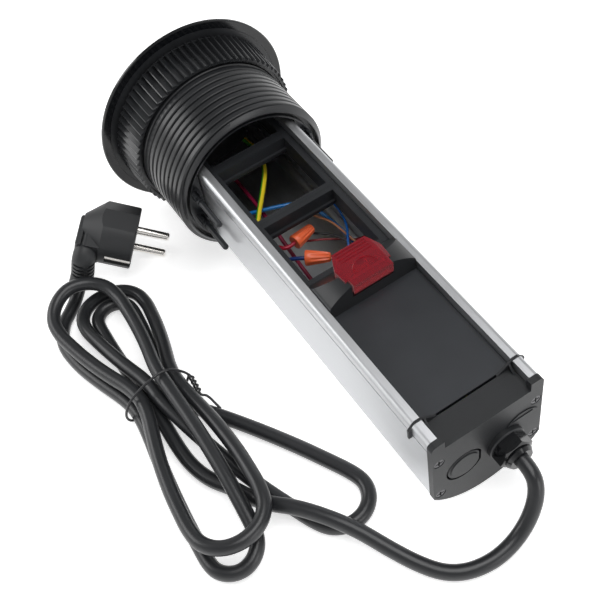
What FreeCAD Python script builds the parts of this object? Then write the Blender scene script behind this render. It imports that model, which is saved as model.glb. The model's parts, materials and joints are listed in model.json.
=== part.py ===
"""Mini power column: a pop-up socket tower that lies open side up with its lead tied in a hank.

The column is an aluminium channel with three module bays, a latch, a blank cover and an end cap.
A threaded collar with a wide flange slides on it, and a toothed nut clamps a worktop under the flange.
Pieces are modelled in the column's own axes: x across the column, y out of its open face and
z along it, away from the flange. They are then laid down as the column rests, on the flange's rim
and on the back of the end cap, so +X runs from the flange to the end cap and +Z is up.
"""
import os
import FreeCAD, Part
from math import acos, atan, atan2, cos, hypot, pi, radians, sin, tan

V = FreeCAD.Vector

# Driving sizes in millimetres

# Flange and threaded collar, outward from the column's corners
bore_clearance = 0.1
collar_wall = 6.6
collar_length = 71.7
flange_width = 13.5
flange_thickness = 3.0
flange_edge_break = 0.6
flange_crown_width = 2.5
flange_crown_height = 1.3
head_width = 8.5
head_seat = 1.2
collar_end_height = 2.4
collar_end_taper = 1.6
collar_end_rim = 2.5
shelf_depth = 1.8
shelf_thickness = 2.4
shelf_spacing = 40.0
shelf_lap = 1.0

# Clamping nut and its slip washer
nut_height = 23.0
nut_top_gap = 0.3
nut_wall = 1.55
nut_tooth_height = 3.6
nut_taper = 1.6
nut_teeth = 76
nut_skirt_step = 0.8
nut_skirt_height = 3.0
washer_thickness = 1.0
washer_width = 3.15
nut_skirt_break = 0.6
thread_clearance = 0.35
tooth_rake = 0.16

# Guide pins on the collar's lower shelf
pin_stand = 5.0
pin_upper_y = 10.0
pin_lower_y = -9.0
pin_radius = 1.7
pin_root_radius = 2.3
pin_root_length = 7.0
pin_reach = 28.0
fork_height = 5.5
fork_gap = 1.6
fork_reach = 2.2
fork_floor = 1.0

# Channel of the column
column_length = 277.8
column_half_width = 30.6
channel_wall = 1.8
lip_top = 25.5
lip_width = 5.3
lip_radius = 2.4
face_sink = 5.4
ledge_width = 2.2
ledge_thickness = 2.0
plate_thickness = 2.2
port_inset = 3.4
port_upper_y = 9.2
port_lower_y = -20.6
port_radius = 3.1
channel_start = 7.0
side_groove_drop = 2.5
side_groove_width = 0.8
side_groove_depth = 0.5
slide_gap = 0.6

# Top cap
cap_gap = 0.5
cap_rim = 1.3
cap_thickness = 3.2
cap_finger_radius = 7.0
cap_finger_depth = 1.6
cap_neck_length = 6.0

# Module frames
bay_count = 3
bay_margin = 6.1
frame_gap = 0.3
frame_border = 3.8
frame_wall = 1.6
frame_depth = 11.5
frame_ledge_drop = 7.1
frame_ledge_reach = 1.6
frame_ledge_thickness = 1.2
fit_gap = 0.1
first_bay = 21.9

# Latch bridge and latch
bridge_length = 23.2
bridge_drop = 0.8
bridge_corner = 2.5
latch_offset = 2.6
latch_length = 21.8
latch_crown_rise = 0.1
latch_top_drop = 1.5
latch_height = 6.4
latch_end_half = 9.6
latch_mid_half = 13.6
latch_lip_half = 11.3
latch_lip_length = 4.6
latch_lip_step = 0.6
latch_shoulder = 8.5
latch_stem_offset = 10.0
latch_skin = 4.2
latch_wall = 1.4
latch_end_wall = 6.0
latch_travel = 3.0
latch_gap = 0.4
latch_rib_pitch = 1.9
latch_rib_count = 4
latch_rib_depth = 0.5
latch_rib_margin = 0.8
scoop_radius = 7.2
scoop_depth = 0.7
scoop_offset = 5.2
stem_radius = 2.4
stem_barb_radius = 3.1
stem_barb_height = 1.4
spring_radius = 4.0
spring_wire = 0.6
spring_turns = 4
spring_gap = 0.05
spring_well_gap = 1.0
stem_gap = 0.3

# End cap
end_plate_thickness = 3.5
end_plate_side = 0.4
end_plate_back = 0.2
ear_inset = 1.5
ear_radius = 3.0
tongue_length = 11.5
fin_thickness = 1.2
fin_width = 8.5
fin_side = 1.8
fin_top_inset = 2.0
fin_rise = 0.5
fin_drop = 4.6
fin_chamfer_x = 3.0
fin_chamfer_y = 4.0
fin_web_length = 4.0
web_thickness = 1.0
web_inset = 2.3
web_drop = 1.6
screw_head_radius = 2.6
screw_head_height = 1.5
screw_radius = 1.4
screw_length = 10.0
screw_sink = 0.2
screw_slot_half_width = 0.4
screw_slot_half_length = 2.0
screw_slot_floor = 0.7
screw_hole_gap = 0.15
screw_head_gap = 0.3
outlet_x = 13.4
outlet_y = -7.0
outlet_radius = 10.2
outlet_flat = 9.5
outlet_gap = 0.25
blank_dome = 0.6
blank_dome_margin = 1.2
blank_body_depth = 1.5
blank_back_lap = 1.2
blank_back_thickness = 1.0

# Cable gland
gland_x = 9.5
gland_y = -9.0
gland_thread_radius = 7.0
gland_flange_radius = 10.0
gland_flange_height = 2.8
gland_hex_across = 16.4
gland_hex_turn = 13.0
gland_hex_height = 7.2
gland_tip_height = 2.8
gland_tip_radius = 6.3
gland_inner_reach = 9.0
gland_back_nut_across = 19.0
gland_back_nut_height = 4.0
gland_nut_shoulder = 4.6
gland_mouth_margin = 1.2
mouth_step = 0.4
gland_thread_short = 2.0

# Snap insert beside the gland
insert_inset = 2.4
insert_width = 17.5
insert_low = 1.7
insert_high = 6.6
insert_sill = 1.2
insert_gap = 0.2
insert_stand = 0.5
insert_back_lap = 0.8
insert_back_thickness = 1.2
insert_rib_inset = 3.0
insert_rib_rise = 1.4
insert_rib_width = 0.8
insert_rib_height = 0.4

# Lead and wires
cord_diameter = 7.8
sheath_gap = 0.05
sheath_reach = 16.0
wire_straight = 8.3
core_diameter = 2.9
lead_diameter = 2.2
link_diameter = 1.3
tie_diameter = 1.4
wire_nut_base = 4.3
wire_nut_tip = 2.4
wire_nut_length = 13.6
wire_nut_flutes = 8
wire_nut_flute_radius = 0.7
wire_nut_flute_start = 3.6

# Angled plug: where the middle of its face lies, and its form
plug_face = (-113.5, -67.2, 18.14)
plug_heading = -36.1
plug_roll = 9.7
plug_dip = 24.0
plug_radius = 18.5
plug_depth = 19.5
plug_edge_round = 1.2
plug_flats = [(19.0, -17.2), (19.0, 17.2), (-5.4, 17.2), (-17.4, 8.2), (-17.4, -8.2), (-5.4, -17.2)]
plug_cone_length = 12.0
plug_cone_radius = 8.5
spine_start = -7.0
spine_end = 17.0
spine_half = 8.5
spine_depth = 10.0
spine_round = 3.0
grip_start = -4.0
grip_end = 16.0
grip_half = 7.0
grip_depth = 3.2
grip_neck = 0.8
grip_inset = 1.5
pin_spacing = 19.0
pin_length = 19.0
plug_pin_radius = 2.4
pin_seat = 6.0
pin_shoulder = 0.4
contact_width = 5.0
contact_thickness = 0.8
contact_recess = 2.2
contact_gap = 0.6
contact_margin = 4.0
contact_front_gap = 0.5
relief_diameter = 13.6
relief_slots = 4
slot_width = 1.3
slot_pitch = 2.7
slot_depth = 1.5
slot_half_length = 4.5
slot_angle = 42.0
slot_turn = -100.0
first_slot = 3.3
lead_stub = 8.0

# Where the object's box has its middle, from the flange's face along the column
origin_x = 142.5

# Cutting shapes run past the faces that they open by this much
past = 1.0

# Worked out from the sizes above: the collar, the flange and the nut
bore_radius = hypot(column_half_width, lip_top) + bore_clearance
collar_radius = bore_radius + collar_wall
head_radius = collar_radius + head_width
flange_radius = collar_radius + flange_width
head_floor = flange_thickness - head_seat
shelf_low = collar_length - shelf_depth
flat_x = column_half_width + slide_gap
pin_x = column_half_width + pin_stand
nut_bore = collar_radius + thread_clearance
nut_hub_radius = nut_bore + nut_wall
nut_tooth_radius = nut_hub_radius + nut_tooth_height
nut_skirt_radius = nut_hub_radius + nut_skirt_step
washer_radius = nut_bore + washer_width
washer_low = flange_thickness + nut_top_gap
nut_low = washer_low + washer_thickness + nut_top_gap

# The channel and what lies in it
cap_radius = bore_radius - cap_gap
back_radius = cap_radius - cap_rim
lip_inner_x = column_half_width - lip_width
inner_x = column_half_width - channel_wall
port_x = column_half_width - port_inset
face_y = lip_top - face_sink
plate_low = face_y - plate_thickness
side_groove_y = face_y - side_groove_drop
frame_half_width = lip_inner_x - frame_gap
window_half = frame_half_width - frame_border
bay_pitch = 2 * window_half + bay_margin
frame_ledge_y = face_y - frame_ledge_drop
frames_end = first_bay + bay_count * bay_pitch
bridge_end = frames_end + bridge_length
bridge_radius = back_radius - bridge_drop
latch_start = frames_end + latch_offset
latch_lip_end = latch_start + latch_length
latch_top_radius = back_radius + latch_crown_rise
latch_top_y = back_radius - latch_top_drop
latch_under_y = latch_top_y - latch_height
latch_under_top = latch_under_y + latch_skin
stem_z = latch_start + latch_stem_offset
pocket_low = latch_under_y - latch_travel - latch_gap

# The end cap, the gland and the lead
plate_top = column_length - end_plate_thickness
cover_end = plate_top - tongue_length
end_plate_half_width = column_half_width + end_plate_side
end_plate_radius = back_radius + end_plate_back
ear_inner_x = lip_inner_x - ear_inset
fin_inner_x = lip_inner_x - fin_width
fin_outer_x = column_half_width + fin_side
fin_top_x = column_half_width - fin_top_inset
fin_top_y = lip_top + fin_rise
fin_bottom_y = face_y - fin_drop
web_x = lip_inner_x - web_inset
insert_right = column_half_width - insert_inset
insert_left = insert_right - insert_width
gland_end = column_length + gland_flange_height + gland_hex_height + gland_tip_height
cord_radius = cord_diameter / 2
sheath_low = plate_top - sheath_reach
wire_bend = sheath_low - wire_straight

# How the column lies
rim_z = flange_thickness - flange_edge_break
tilt = atan((flange_radius - end_plate_radius) / (column_length - rim_z))


def box(x0, x1, y0, y1, z0, z1):
    return Part.makeBox(x1 - x0, y1 - y0, z1 - z0, V(x0, y0, z0))


def disc(radius, z0, z1, x=0.0, y=0.0):
    return Part.makeCylinder(radius, z1 - z0, V(x, y, z0))


def ring(outer, inner, z0, z1, x=0.0, y=0.0):
    return disc(outer, z0, z1, x, y).cut(disc(inner, z0 - past, z1 + past, x, y))


def extrude(points, z0, z1):
    """A straight-sided outline in x and y, carried from z0 to z1."""
    corners = [V(x, y, z0) for x, y in points]
    face = Part.Face(Part.makePolygon(corners + corners[:1]))
    return face.extrude(V(0, 0, z1 - z0))


def revolve(points):
    """A solid turned about z from points given as (radius, z)."""
    corners = [V(r, 0, z) for r, z in points]
    face = Part.Face(Part.makePolygon(corners + corners[:1]))
    return face.revolve(V(0, 0, 0), V(0, 0, 1), 360)


def mirror_x(shape):
    return shape.mirror(V(0, 0, 0), V(1, 0, 0))


def both_sides(shape):
    return [shape, mirror_x(shape)]


def fuse(shapes):
    solid = shapes[0]
    for other in shapes[1:]:
        solid = solid.fuse(other)
    return solid.removeSplitter()


def segment(radius, half_width, y_low, z0, z1):
    """The part of a round bar between two flats and above a level."""
    bar = disc(radius, z0, z1)
    return bar.common(box(-half_width, half_width, y_low, radius + past, z0, z1))


def column_outline(half_width, radius, top_y, z0, z1):
    """The column's outer form: two flat sides, a round back and a flat top."""
    bar = disc(radius, z0, z1)
    lower = bar.common(box(-half_width, half_width, -radius - past, 0.0, z0, z1))
    return lower.fuse(box(-half_width, half_width, 0.0, top_y, z0, z1)).removeSplitter()


def round_edges(shape, radius, wanted):
    """Fillet the straight edges along z that the test picks by their x and y."""
    edges = []
    for edge in shape.Edges:
        start = edge.Vertexes[0].Point
        end = edge.Vertexes[-1].Point
        along = hypot(start.x - end.x, start.y - end.y) < 1e-6
        if along and abs(start.z - end.z) > 1e-6 and wanted(start.x, start.y):
            edges.append(edge)
    return shape.makeFillet(radius, edges)


def column_profile():
    """The channel: flat sides, round back, lipped rails with a chamber and four screw ports."""
    z0 = channel_start
    z1 = plate_top
    outer = column_outline(column_half_width, back_radius, lip_top, z0, z1)
    outer = round_edges(outer, lip_radius, lambda x, y: y > face_y)
    inner_half = column_half_width - channel_wall
    cavity = column_outline(inner_half, back_radius - channel_wall, plate_low - ledge_thickness,
                            z0 - past, z1 + past)
    ledge_x = lip_inner_x - ledge_width
    mouth = box(-ledge_x, ledge_x, 0.0, lip_top + past, z0 - past, z1 + past)
    slot = box(-lip_inner_x, lip_inner_x, plate_low, lip_top + past, z0 - past, z1 + past)
    shape = outer.cut(cavity).cut(mouth).cut(slot)
    ports = []
    for y in (port_upper_y, port_lower_y):
        ports.extend(both_sides(disc(port_radius, z0, z1, port_x, y)))
    ports = [port.common(outer) for port in ports]
    shape = fuse([shape] + ports)
    groove_x = column_half_width - side_groove_depth
    groove = box(groove_x, column_half_width + past, side_groove_y, side_groove_y + side_groove_width,
                 z0 - past, z1 + past)
    cuts = both_sides(groove)
    for y in (port_upper_y, port_lower_y):
        cuts.extend(both_sides(disc(screw_radius, z0 - past, z1 + past, port_x, y)))
    fin_slot = box(lip_inner_x - fit_gap, column_half_width + past, fin_bottom_y - fit_gap, lip_top + past,
                   cover_end - fin_thickness - fit_gap, cover_end + fit_gap)
    cuts.extend(both_sides(fin_slot))
    for cut in cuts:
        shape = shape.cut(cut)
    return shape.removeSplitter()


def top_cap():
    """The round cap that closes the column inside the flange, with a finger recess and a neck."""
    shape = disc(cap_radius, 0.0, cap_thickness)
    shape = shape.makeChamfer(flange_edge_break, [shape.Edges[0], shape.Edges[2]])
    neck_half = column_half_width - channel_wall - fit_gap
    neck = column_outline(neck_half, back_radius - channel_wall - fit_gap, plate_low - ledge_thickness,
                          cap_thickness, channel_start + cap_neck_length)
    for y in (port_upper_y, port_lower_y):
        port = disc(port_radius + fit_gap, cap_thickness, channel_start + cap_neck_length + past, port_x, y)
        for side in both_sides(port):
            neck = neck.cut(side)
    collar = column_outline(column_half_width, back_radius, face_y, cap_thickness, channel_start)
    recess = disc(cap_finger_radius, -past, cap_finger_depth, 0.0, 2 * cap_finger_radius - cap_radius)
    return fuse([shape, collar, neck]).cut(recess)


def module_frame(index):
    """One bay's frame: a face plate round the window, four inner walls and a ledge at each end."""
    z0 = first_bay + index * bay_pitch + fit_gap / 2
    z1 = first_bay + (index + 1) * bay_pitch - fit_gap / 2
    middle = (z0 + z1) / 2
    wall_half = window_half + frame_wall
    y_low = face_y - frame_depth
    plate = box(-frame_half_width, frame_half_width, plate_low, face_y, z0, z1)
    walls = box(-wall_half, wall_half, y_low, plate_low, middle - wall_half, middle + wall_half)
    window = box(-window_half, window_half, y_low - past, face_y + past,
                 middle - window_half, middle + window_half)
    shape = plate.fuse(walls).cut(window)
    ledges = []
    for side in (-1, 1):
        edge = middle + side * window_half
        inner = edge - side * frame_ledge_reach
        ledges.append(box(-window_half, window_half, frame_ledge_y - frame_ledge_thickness,
                          frame_ledge_y, min(edge, inner), max(edge, inner)))
    return fuse([shape] + ledges)


def latch_outline(grow, z_tail):
    """Half of the latch's outline seen from above, as (x, z), grown by a gap."""
    shoulder = latch_start + latch_shoulder
    notch = latch_lip_end - latch_lip_length
    return [(0.0, latch_start - grow), (latch_end_half + grow, latch_start - grow),
            (latch_mid_half + grow, shoulder), (latch_mid_half - latch_lip_step + grow, notch),
            (latch_lip_half + grow, notch), (latch_lip_half + grow, z_tail), (0.0, z_tail)]


def latch_block(grow, z_tail, y0, y1):
    half = [V(x, y0, z) for x, z in latch_outline(grow, z_tail)]
    other = [V(-p.x, p.y, p.z) for p in reversed(half[1:-1])]
    corners = half + other
    face = Part.Face(Part.makePolygon(corners + corners[:1]))
    return face.extrude(V(0, y1 - y0, 0))


def bar_along_y(radius, y0, y1, x=0.0, z=0.0):
    return Part.makeCylinder(radius, y1 - y0, V(x, y0, z), V(0, 1, 0))


def prism_along_y(points, y0, y1):
    """A prism over a closed outline in x and z, from y0 to y1."""
    corners = [V(x, y0, z) for x, z in points]
    face = Part.Face(Part.makePolygon(corners + corners[:1]))
    return face.extrude(V(0, y1 - y0, 0))


def latch_bridge():
    """The arched bridge: a round hump with a ramp, a pocket for the latch and its stem hole."""
    z0 = frames_end + fit_gap / 2
    z1 = bridge_end - fit_gap / 2
    plate = box(-frame_half_width, frame_half_width, plate_low, face_y, z0, z1)
    hump = segment(bridge_radius, frame_half_width, face_y, z0, z1)
    ramp_top = bridge_radius + past
    rise = ramp_top - face_y
    corners = [V(-bridge_radius, face_y, z0), V(-bridge_radius, ramp_top, z0),
               V(-bridge_radius, ramp_top, z0 + rise)]
    ramp = Part.Face(Part.makePolygon(corners + corners[:1]))
    hump = hump.cut(ramp.extrude(V(2 * bridge_radius, 0, 0)))
    hump = round_edges(hump, bridge_corner,
                       lambda x, y: abs(x) > frame_half_width - fit_gap and y > face_y + fit_gap)
    shape = fuse([plate, hump])
    shape = shape.cut(latch_block(latch_gap, bridge_end + past, pocket_low, bridge_radius + past))
    shape = shape.cut(bar_along_y(spring_radius + spring_well_gap, face_y, pocket_low + past, 0.0, stem_z))
    return shape.cut(bar_along_y(stem_radius + stem_gap, plate_low - past, face_y + past, 0.0, stem_z))


def latch_button():
    """The tinted press tab: crowned top, grip ribs at one end, a thumb scoop, a lip and a stem."""
    block = latch_block(0.0, latch_lip_end, latch_under_y, latch_top_y)
    crown = disc(latch_top_radius, latch_start - past, latch_lip_end + past)
    shape = block.common(crown)
    for index in range(latch_rib_count):
        z = latch_start + (index + 0.5) * latch_rib_pitch
        half = latch_end_half - latch_rib_margin
        groove = box(-half, half, latch_top_y - latch_rib_depth, latch_top_y + past, z,
                     z + latch_rib_pitch / 2)
        shape = shape.cut(groove)
    scoop_z = latch_lip_end - scoop_offset
    scoop = bar_along_y(scoop_radius, latch_top_y - scoop_depth, latch_top_y + past, 0.0, scoop_z)
    beyond = box(-scoop_radius, scoop_radius, 0.0, latch_top_radius, scoop_z, scoop_z + scoop_radius)
    scoop = scoop.cut(beyond)
    shape = shape.cut(scoop)
    under = latch_block(-latch_wall, latch_lip_end - latch_end_wall, latch_under_y - past, latch_under_top)
    shape = shape.cut(under)
    barb_y = plate_low - stem_barb_height - 2 * fit_gap
    stem = bar_along_y(stem_radius, barb_y, latch_under_top + fit_gap, 0.0, stem_z)
    barb = bar_along_y(stem_barb_radius, barb_y, barb_y + stem_barb_height, 0.0, stem_z)
    return fuse([shape, stem, barb])


def latch_spring():
    """A short spring wound round the stem, between the bridge's plate and the latch."""
    margin = spring_wire / 2 + spring_gap
    low = V(0, face_y + margin, stem_z)
    high = V(0, latch_under_top - margin, stem_z)
    return tube("spring", winding(low, high, spring_radius - spring_wire / 2, spring_turns), spring_wire)


def blank_cover():
    return box(-frame_half_width, frame_half_width, plate_low, face_y,
               bridge_end + fit_gap / 2, cover_end - fin_thickness - fit_gap)


def outlet_shape(radius, flat, z0, z1, side):
    """A round form with one flat that faces the column's middle."""
    shape = disc(radius, z0, z1, side * outlet_x, outlet_y)
    edge = side * (outlet_x - flat)
    reach = 2 * radius
    low = min(edge, edge - side * reach)
    return shape.cut(box(low, low + reach, outlet_y - reach, outlet_y + reach, z0 - past, z1 + past))


def end_cap():
    """The end plate with ears, the tongue that follows the cover and the two stop fins."""
    z1 = column_length
    plate = column_outline(end_plate_half_width, end_plate_radius, lip_top + fit_gap, plate_top, z1)
    plate = round_edges(plate, ear_radius, lambda x, y: y > face_y)
    plate = plate.cut(box(-ear_inner_x, ear_inner_x, face_y + 2 * fit_gap, lip_top + 2 * past,
                          plate_top - past, z1 + past))
    tongue = box(-frame_half_width, frame_half_width, plate_low, face_y, cover_end, plate_top)
    fins = []
    lip_side = lip_inner_x + 2 * fit_gap
    outline = [(fin_inner_x, plate_low), (fin_inner_x, face_y), (fin_top_x - fin_chamfer_x, fin_top_y),
               (fin_top_x, fin_top_y), (fin_outer_x, fin_top_y - fin_chamfer_y),
               (fin_outer_x, fin_bottom_y), (lip_side, fin_bottom_y), (lip_side, plate_low)]
    fin = extrude(outline, cover_end - fin_thickness, cover_end)
    corners = [V(web_x, face_y, cover_end), V(web_x, fin_top_y - web_drop, cover_end),
               V(web_x, face_y, cover_end + fin_web_length)]
    web = Part.Face(Part.makePolygon(corners + corners[:1])).extrude(V(web_thickness, 0, 0))
    foot = box(fin_inner_x, frame_half_width, plate_low, face_y, cover_end - fin_thickness, cover_end)
    for piece in (fin, web, foot):
        fins.extend(both_sides(piece))
    shape = fuse([plate, tongue] + fins)
    shape = shape.cut(outlet_shape(outlet_radius, outlet_flat, plate_top - past, z1 + past, -1))
    shape = shape.cut(disc(gland_thread_radius, plate_top - past, z1 + past, gland_x, gland_y))
    shape = shape.cut(lens(insert_gap, plate_top - past, z1 + past))
    for side in (-1, 1):
        for y in (port_upper_y, port_lower_y):
            x = side * port_x
            hole = disc(screw_radius + screw_hole_gap, plate_top - past, z1 + past, x, y)
            sink = disc(screw_head_radius + screw_head_gap, z1 - screw_head_height - screw_sink,
                        z1 + past, x, y)
            shape = shape.cut(hole).cut(sink)
    return shape


def end_cap_screws():
    """The four countersunk cross-slotted screws that hold the end plate."""
    shapes = []
    wide = screw_slot_half_length
    slim = screw_slot_half_width
    for side in (-1, 1):
        for y in (port_upper_y, port_lower_y):
            x = side * port_x
            seat = column_length - screw_head_height - screw_sink
            head = disc(screw_head_radius, seat, seat + screw_head_height, x, y)
            shank = disc(screw_radius, seat - screw_length, seat, x, y)
            floor = seat + screw_slot_floor
            top = seat + screw_head_height + past
            slot = box(x - slim, x + slim, y - wide, y + wide, floor, top)
            slot = slot.fuse(box(x - wide, x + wide, y - slim, y + slim, floor, top))
            shapes.append(head.fuse(shank).cut(slot).removeSplitter())
    return Part.makeCompound(shapes)


def blanking_plug():
    """The blank that closes the unused outlet: a flanged back, a body in the hole, a low dome."""
    radius = outlet_radius - outlet_gap
    flat = outlet_flat - outlet_gap
    deep = plate_top - blank_body_depth
    body = outlet_shape(radius, flat, deep, column_length, -1)
    back = outlet_shape(outlet_radius + blank_back_lap, outlet_flat + blank_back_lap,
                        deep - blank_back_thickness, plate_top - fit_gap / 2, -1)
    raised = outlet_shape(radius - blank_dome_margin, flat - blank_dome_margin, plate_top,
                          column_length + blank_dome, -1)
    return fuse([back, body, raised])


def hexagon(across, turn, z0, z1):
    """A six-sided prism about the gland's axis, turned by an angle in degrees."""
    reach = across / 2 / cos(pi / 6)
    corners = []
    for k in range(6):
        angle = radians(turn) + k * pi / 3
        corners.append((gland_x + reach * cos(angle), gland_y + reach * sin(angle)))
    return extrude(corners, z0, z1)


def gland_body():
    """The gland's body: a round flange outside, a threaded neck through the plate, the lead's bore."""
    z0 = plate_top - gland_inner_reach
    z1 = column_length + gland_flange_height
    flange = disc(gland_flange_radius, column_length, z1, gland_x, gland_y)
    flange = flange.makeChamfer(flange_edge_break, [flange.Edges[0]])
    neck = disc(gland_thread_radius, z0, z1 + gland_hex_height - gland_thread_short, gland_x, gland_y)
    return fuse([flange, neck]).cut(disc(cord_radius, z0 - past, gland_end + past, gland_x, gland_y))


def gland_nut():
    """The six-sided cap nut with a rounded mouth that grips the lead."""
    z0 = column_length + gland_flange_height
    z1 = z0 + gland_hex_height
    wide = gland_tip_radius + gland_mouth_margin
    body = hexagon(gland_hex_across, gland_hex_turn, z0, z1)
    cone = revolve([(0, z0 - past), (gland_hex_across, z0 - past),
                    (gland_hex_across, z1 - gland_nut_shoulder),
                    (wide, z1), (0, z1)])
    cone.translate(V(gland_x, gland_y, 0))
    mouth = revolve([(0, z1), (wide - mouth_step, z1), (wide, z1 + past), (gland_tip_radius, gland_end),
                     (0, gland_end)])
    mouth.translate(V(gland_x, gland_y, 0))
    shape = fuse([body.common(cone), mouth])
    shape = shape.cut(disc(gland_thread_radius, z0 - past, z1 - gland_thread_short, gland_x, gland_y))
    return shape.cut(disc(cord_radius, z0 - past, gland_end + past, gland_x, gland_y))


def gland_back_nut():
    z1 = plate_top
    z0 = z1 - gland_back_nut_height
    shape = hexagon(gland_back_nut_across, 0.0, z0, z1)
    return shape.cut(disc(gland_thread_radius, z0 - past, z1 + past, gland_x, gland_y))


def lens(grow, z0, z1):
    """The snap insert's outline: a high arch over a shallow one."""
    left = V(insert_left - grow, insert_low, z0)
    right = V(insert_right + grow, insert_low, z0)
    middle = (insert_left + insert_right) / 2
    top = V(middle, insert_high + grow, z0)
    sill = V(middle, insert_sill - grow, z0)
    upper = Part.Arc(left, top, right).toShape()
    lower = Part.Arc(right, sill, left).toShape()
    return Part.Face(Part.Wire([upper, lower])).extrude(V(0, 0, z1 - z0))


def exit_insert():
    """The lens-shaped snap insert that closes the side entry above the gland."""
    body = lens(0.0, plate_top, column_length + insert_stand)
    back = lens(insert_back_lap, plate_top - insert_back_thickness, plate_top)
    rib_y = insert_low + insert_rib_rise
    rib_z = column_length + insert_stand
    rib = box(insert_left + insert_rib_inset, insert_right - insert_rib_inset, rib_y,
              rib_y + insert_rib_width, rib_z, rib_z + insert_rib_height)
    return fuse([body, back, rib])


def flange_ring():
    """The wide trim flange that rests on the worktop round the collar's head."""
    radius = flange_radius
    edge = flange_edge_break
    seat_radius = head_radius + fit_gap
    return revolve([(bore_radius, 0.0), (radius - flange_crown_width, 0.0),
                    (radius - 0.28 * flange_crown_width, 0.38 * flange_crown_height),
                    (radius, flange_crown_height), (radius, flange_thickness - edge),
                    (radius - edge, flange_thickness), (seat_radius, flange_thickness),
                    (seat_radius, head_floor), (bore_radius, head_floor)])


def threaded_collar():
    """The collar: a head under the flange, a tube as wide as its thread and two guide shelves."""
    end = collar_length
    shoulder = collar_radius - collar_end_taper
    rim = shoulder - collar_end_rim
    barrel = revolve([(bore_radius, head_floor), (head_radius, head_floor),
                      (head_radius, flange_thickness), (collar_radius, flange_thickness),
                      (collar_radius, end - collar_end_height), (shoulder, end), (rim, end),
                      (rim, shelf_low), (bore_radius, shelf_low)])
    shelves = []
    for z1 in (shelf_low, shelf_low - shelf_spacing):
        z0 = z1 - shelf_thickness
        shelf = disc(bore_radius + shelf_lap, z0, z1)
        passage = box(-flat_x, flat_x, -collar_radius, collar_radius, z0 - past, z1 + past)
        shelves.append(shelf.cut(passage))
    return fuse([barrel] + shelves)


def guide_pins():
    """Four pins with forked feet that stand on the lower shelf, beside the column's flat sides."""
    pins = []
    z0 = shelf_low
    z1 = z0 + pin_reach
    for side in (-1, 1):
        for y in (pin_upper_y, pin_lower_y):
            x = side * pin_x
            foot = disc(pin_root_radius, z0, z0 + pin_root_length, x, y)
            rod = disc(pin_radius, z0 + pin_root_length, z1 - pin_radius, x, y)
            tip = Part.makeSphere(pin_radius, V(x, y, z1 - pin_radius))
            lug_y = y + pin_root_radius
            lug = box(x - pin_root_radius, x + pin_root_radius, y + pin_radius, lug_y + fork_reach,
                      z0, z0 + fork_height)
            lug = lug.cut(box(x - fork_gap / 2, x + fork_gap / 2, y, lug_y + fork_reach + past,
                              z0 + fork_floor, z0 + fork_height + past))
            pins.append(fuse([foot, rod, tip, lug]))
    return Part.makeCompound(pins)


def nut_washer():
    return ring(washer_radius, nut_bore, washer_low, washer_low + washer_thickness)


def clamping_nut():
    """The nut that clamps the worktop: a ring with sawtooth grip ribs that taper to its free end."""
    z0 = nut_low
    z1 = z0 + nut_height
    hub = ring(nut_hub_radius, nut_bore, z0, z1)
    step = 2 * pi / nut_teeth
    sections = []
    for z, tip in ((z0, nut_tooth_radius), (z1 - nut_skirt_height, nut_tooth_radius - nut_taper)):
        corners = []
        for index in range(nut_teeth):
            angle = index * step
            corners.append(V(tip * cos(angle), tip * sin(angle), z))
            root = angle + tooth_rake * step
            corners.append(V(nut_skirt_radius * cos(root), nut_skirt_radius * sin(root), z))
        sections.append(Part.makePolygon(corners + corners[:1]))
    teeth = Part.makeLoft(sections, True, True)
    inner = (nut_hub_radius + nut_bore) / 2
    teeth = teeth.cut(disc(inner, z0 - past, z1 + past))
    skirt = revolve([(inner, z1 - nut_skirt_height), (nut_skirt_radius, z1 - nut_skirt_height),
                     (nut_skirt_radius - nut_skirt_break, z1), (inner, z1)])
    return fuse([hub, teeth, skirt])


# Routes of the wires inside the channel, as points in the column's axes
earth_route = [(9.5, -7.2, sheath_low), (9.5, -7.2, wire_bend), (3.0, -10.0, 228.0),
               (-14.0, -15.0, 208.0), (-25.0, -13.0, 186.0), (-26.2, -7.0, 160.0), (-26.2, -4.5, 132.0),
               (-24.0, -3.5, 112.0), (-14.9, -2.0, 98.0), (-2.6, -2.0, 83.0), (9.0, -2.0, 68.0),
               (14.0, -2.5, 52.0), (12.5, -4.0, 38.0)]
neutral_route = [(7.6, -10.2, sheath_low), (7.6, -10.2, wire_bend), (10.0, -14.0, 226.0),
                 (16.0, -17.0, 202.0), (21.0, -16.0, 176.0), (23.0, -14.5, 150.0), (22.5, -11.0, 124.0),
                 (15.4, -5.6, 99.5), (4.3, -5.2, 94.5), (-6.9, -5.2, 90.0), (-16.0, -8.0, 84.0)]
live_route = [(11.4, -10.2, sheath_low), (11.4, -10.2, wire_bend), (9.0, -17.0, 228.0), (1.0, -21.0, 204.0),
              (-6.0, -21.0, 178.0), (-8.5, -18.0, 150.0), (-8.0, -14.0, 121.0), (-6.8, -9.8, 94.0),
              (-5.8, -9.6, 72.0), (-5.2, -12.0, 50.0)]
splice_red_route = [(-inner_x, -12.0, 100.6), (-25.2, -12.0, 100.6), (-20.5, -8.0, 106.5),
                    (-17.5, -3.2, 114.5), (-15.6, -0.6, 121.0), (-12.4, 0.0, 125.7), (-7.2, 0.0, 124.5)]
splice_blue_route = [(-inner_x, -14.0, 121.6), (-25.2, -14.0, 121.6), (-20.0, -8.5, 125.5),
                     (-16.8, -2.0, 129.8), (-12.4, 0.0, 133.8), (-8.3, 0.0, 136.7)]
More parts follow.
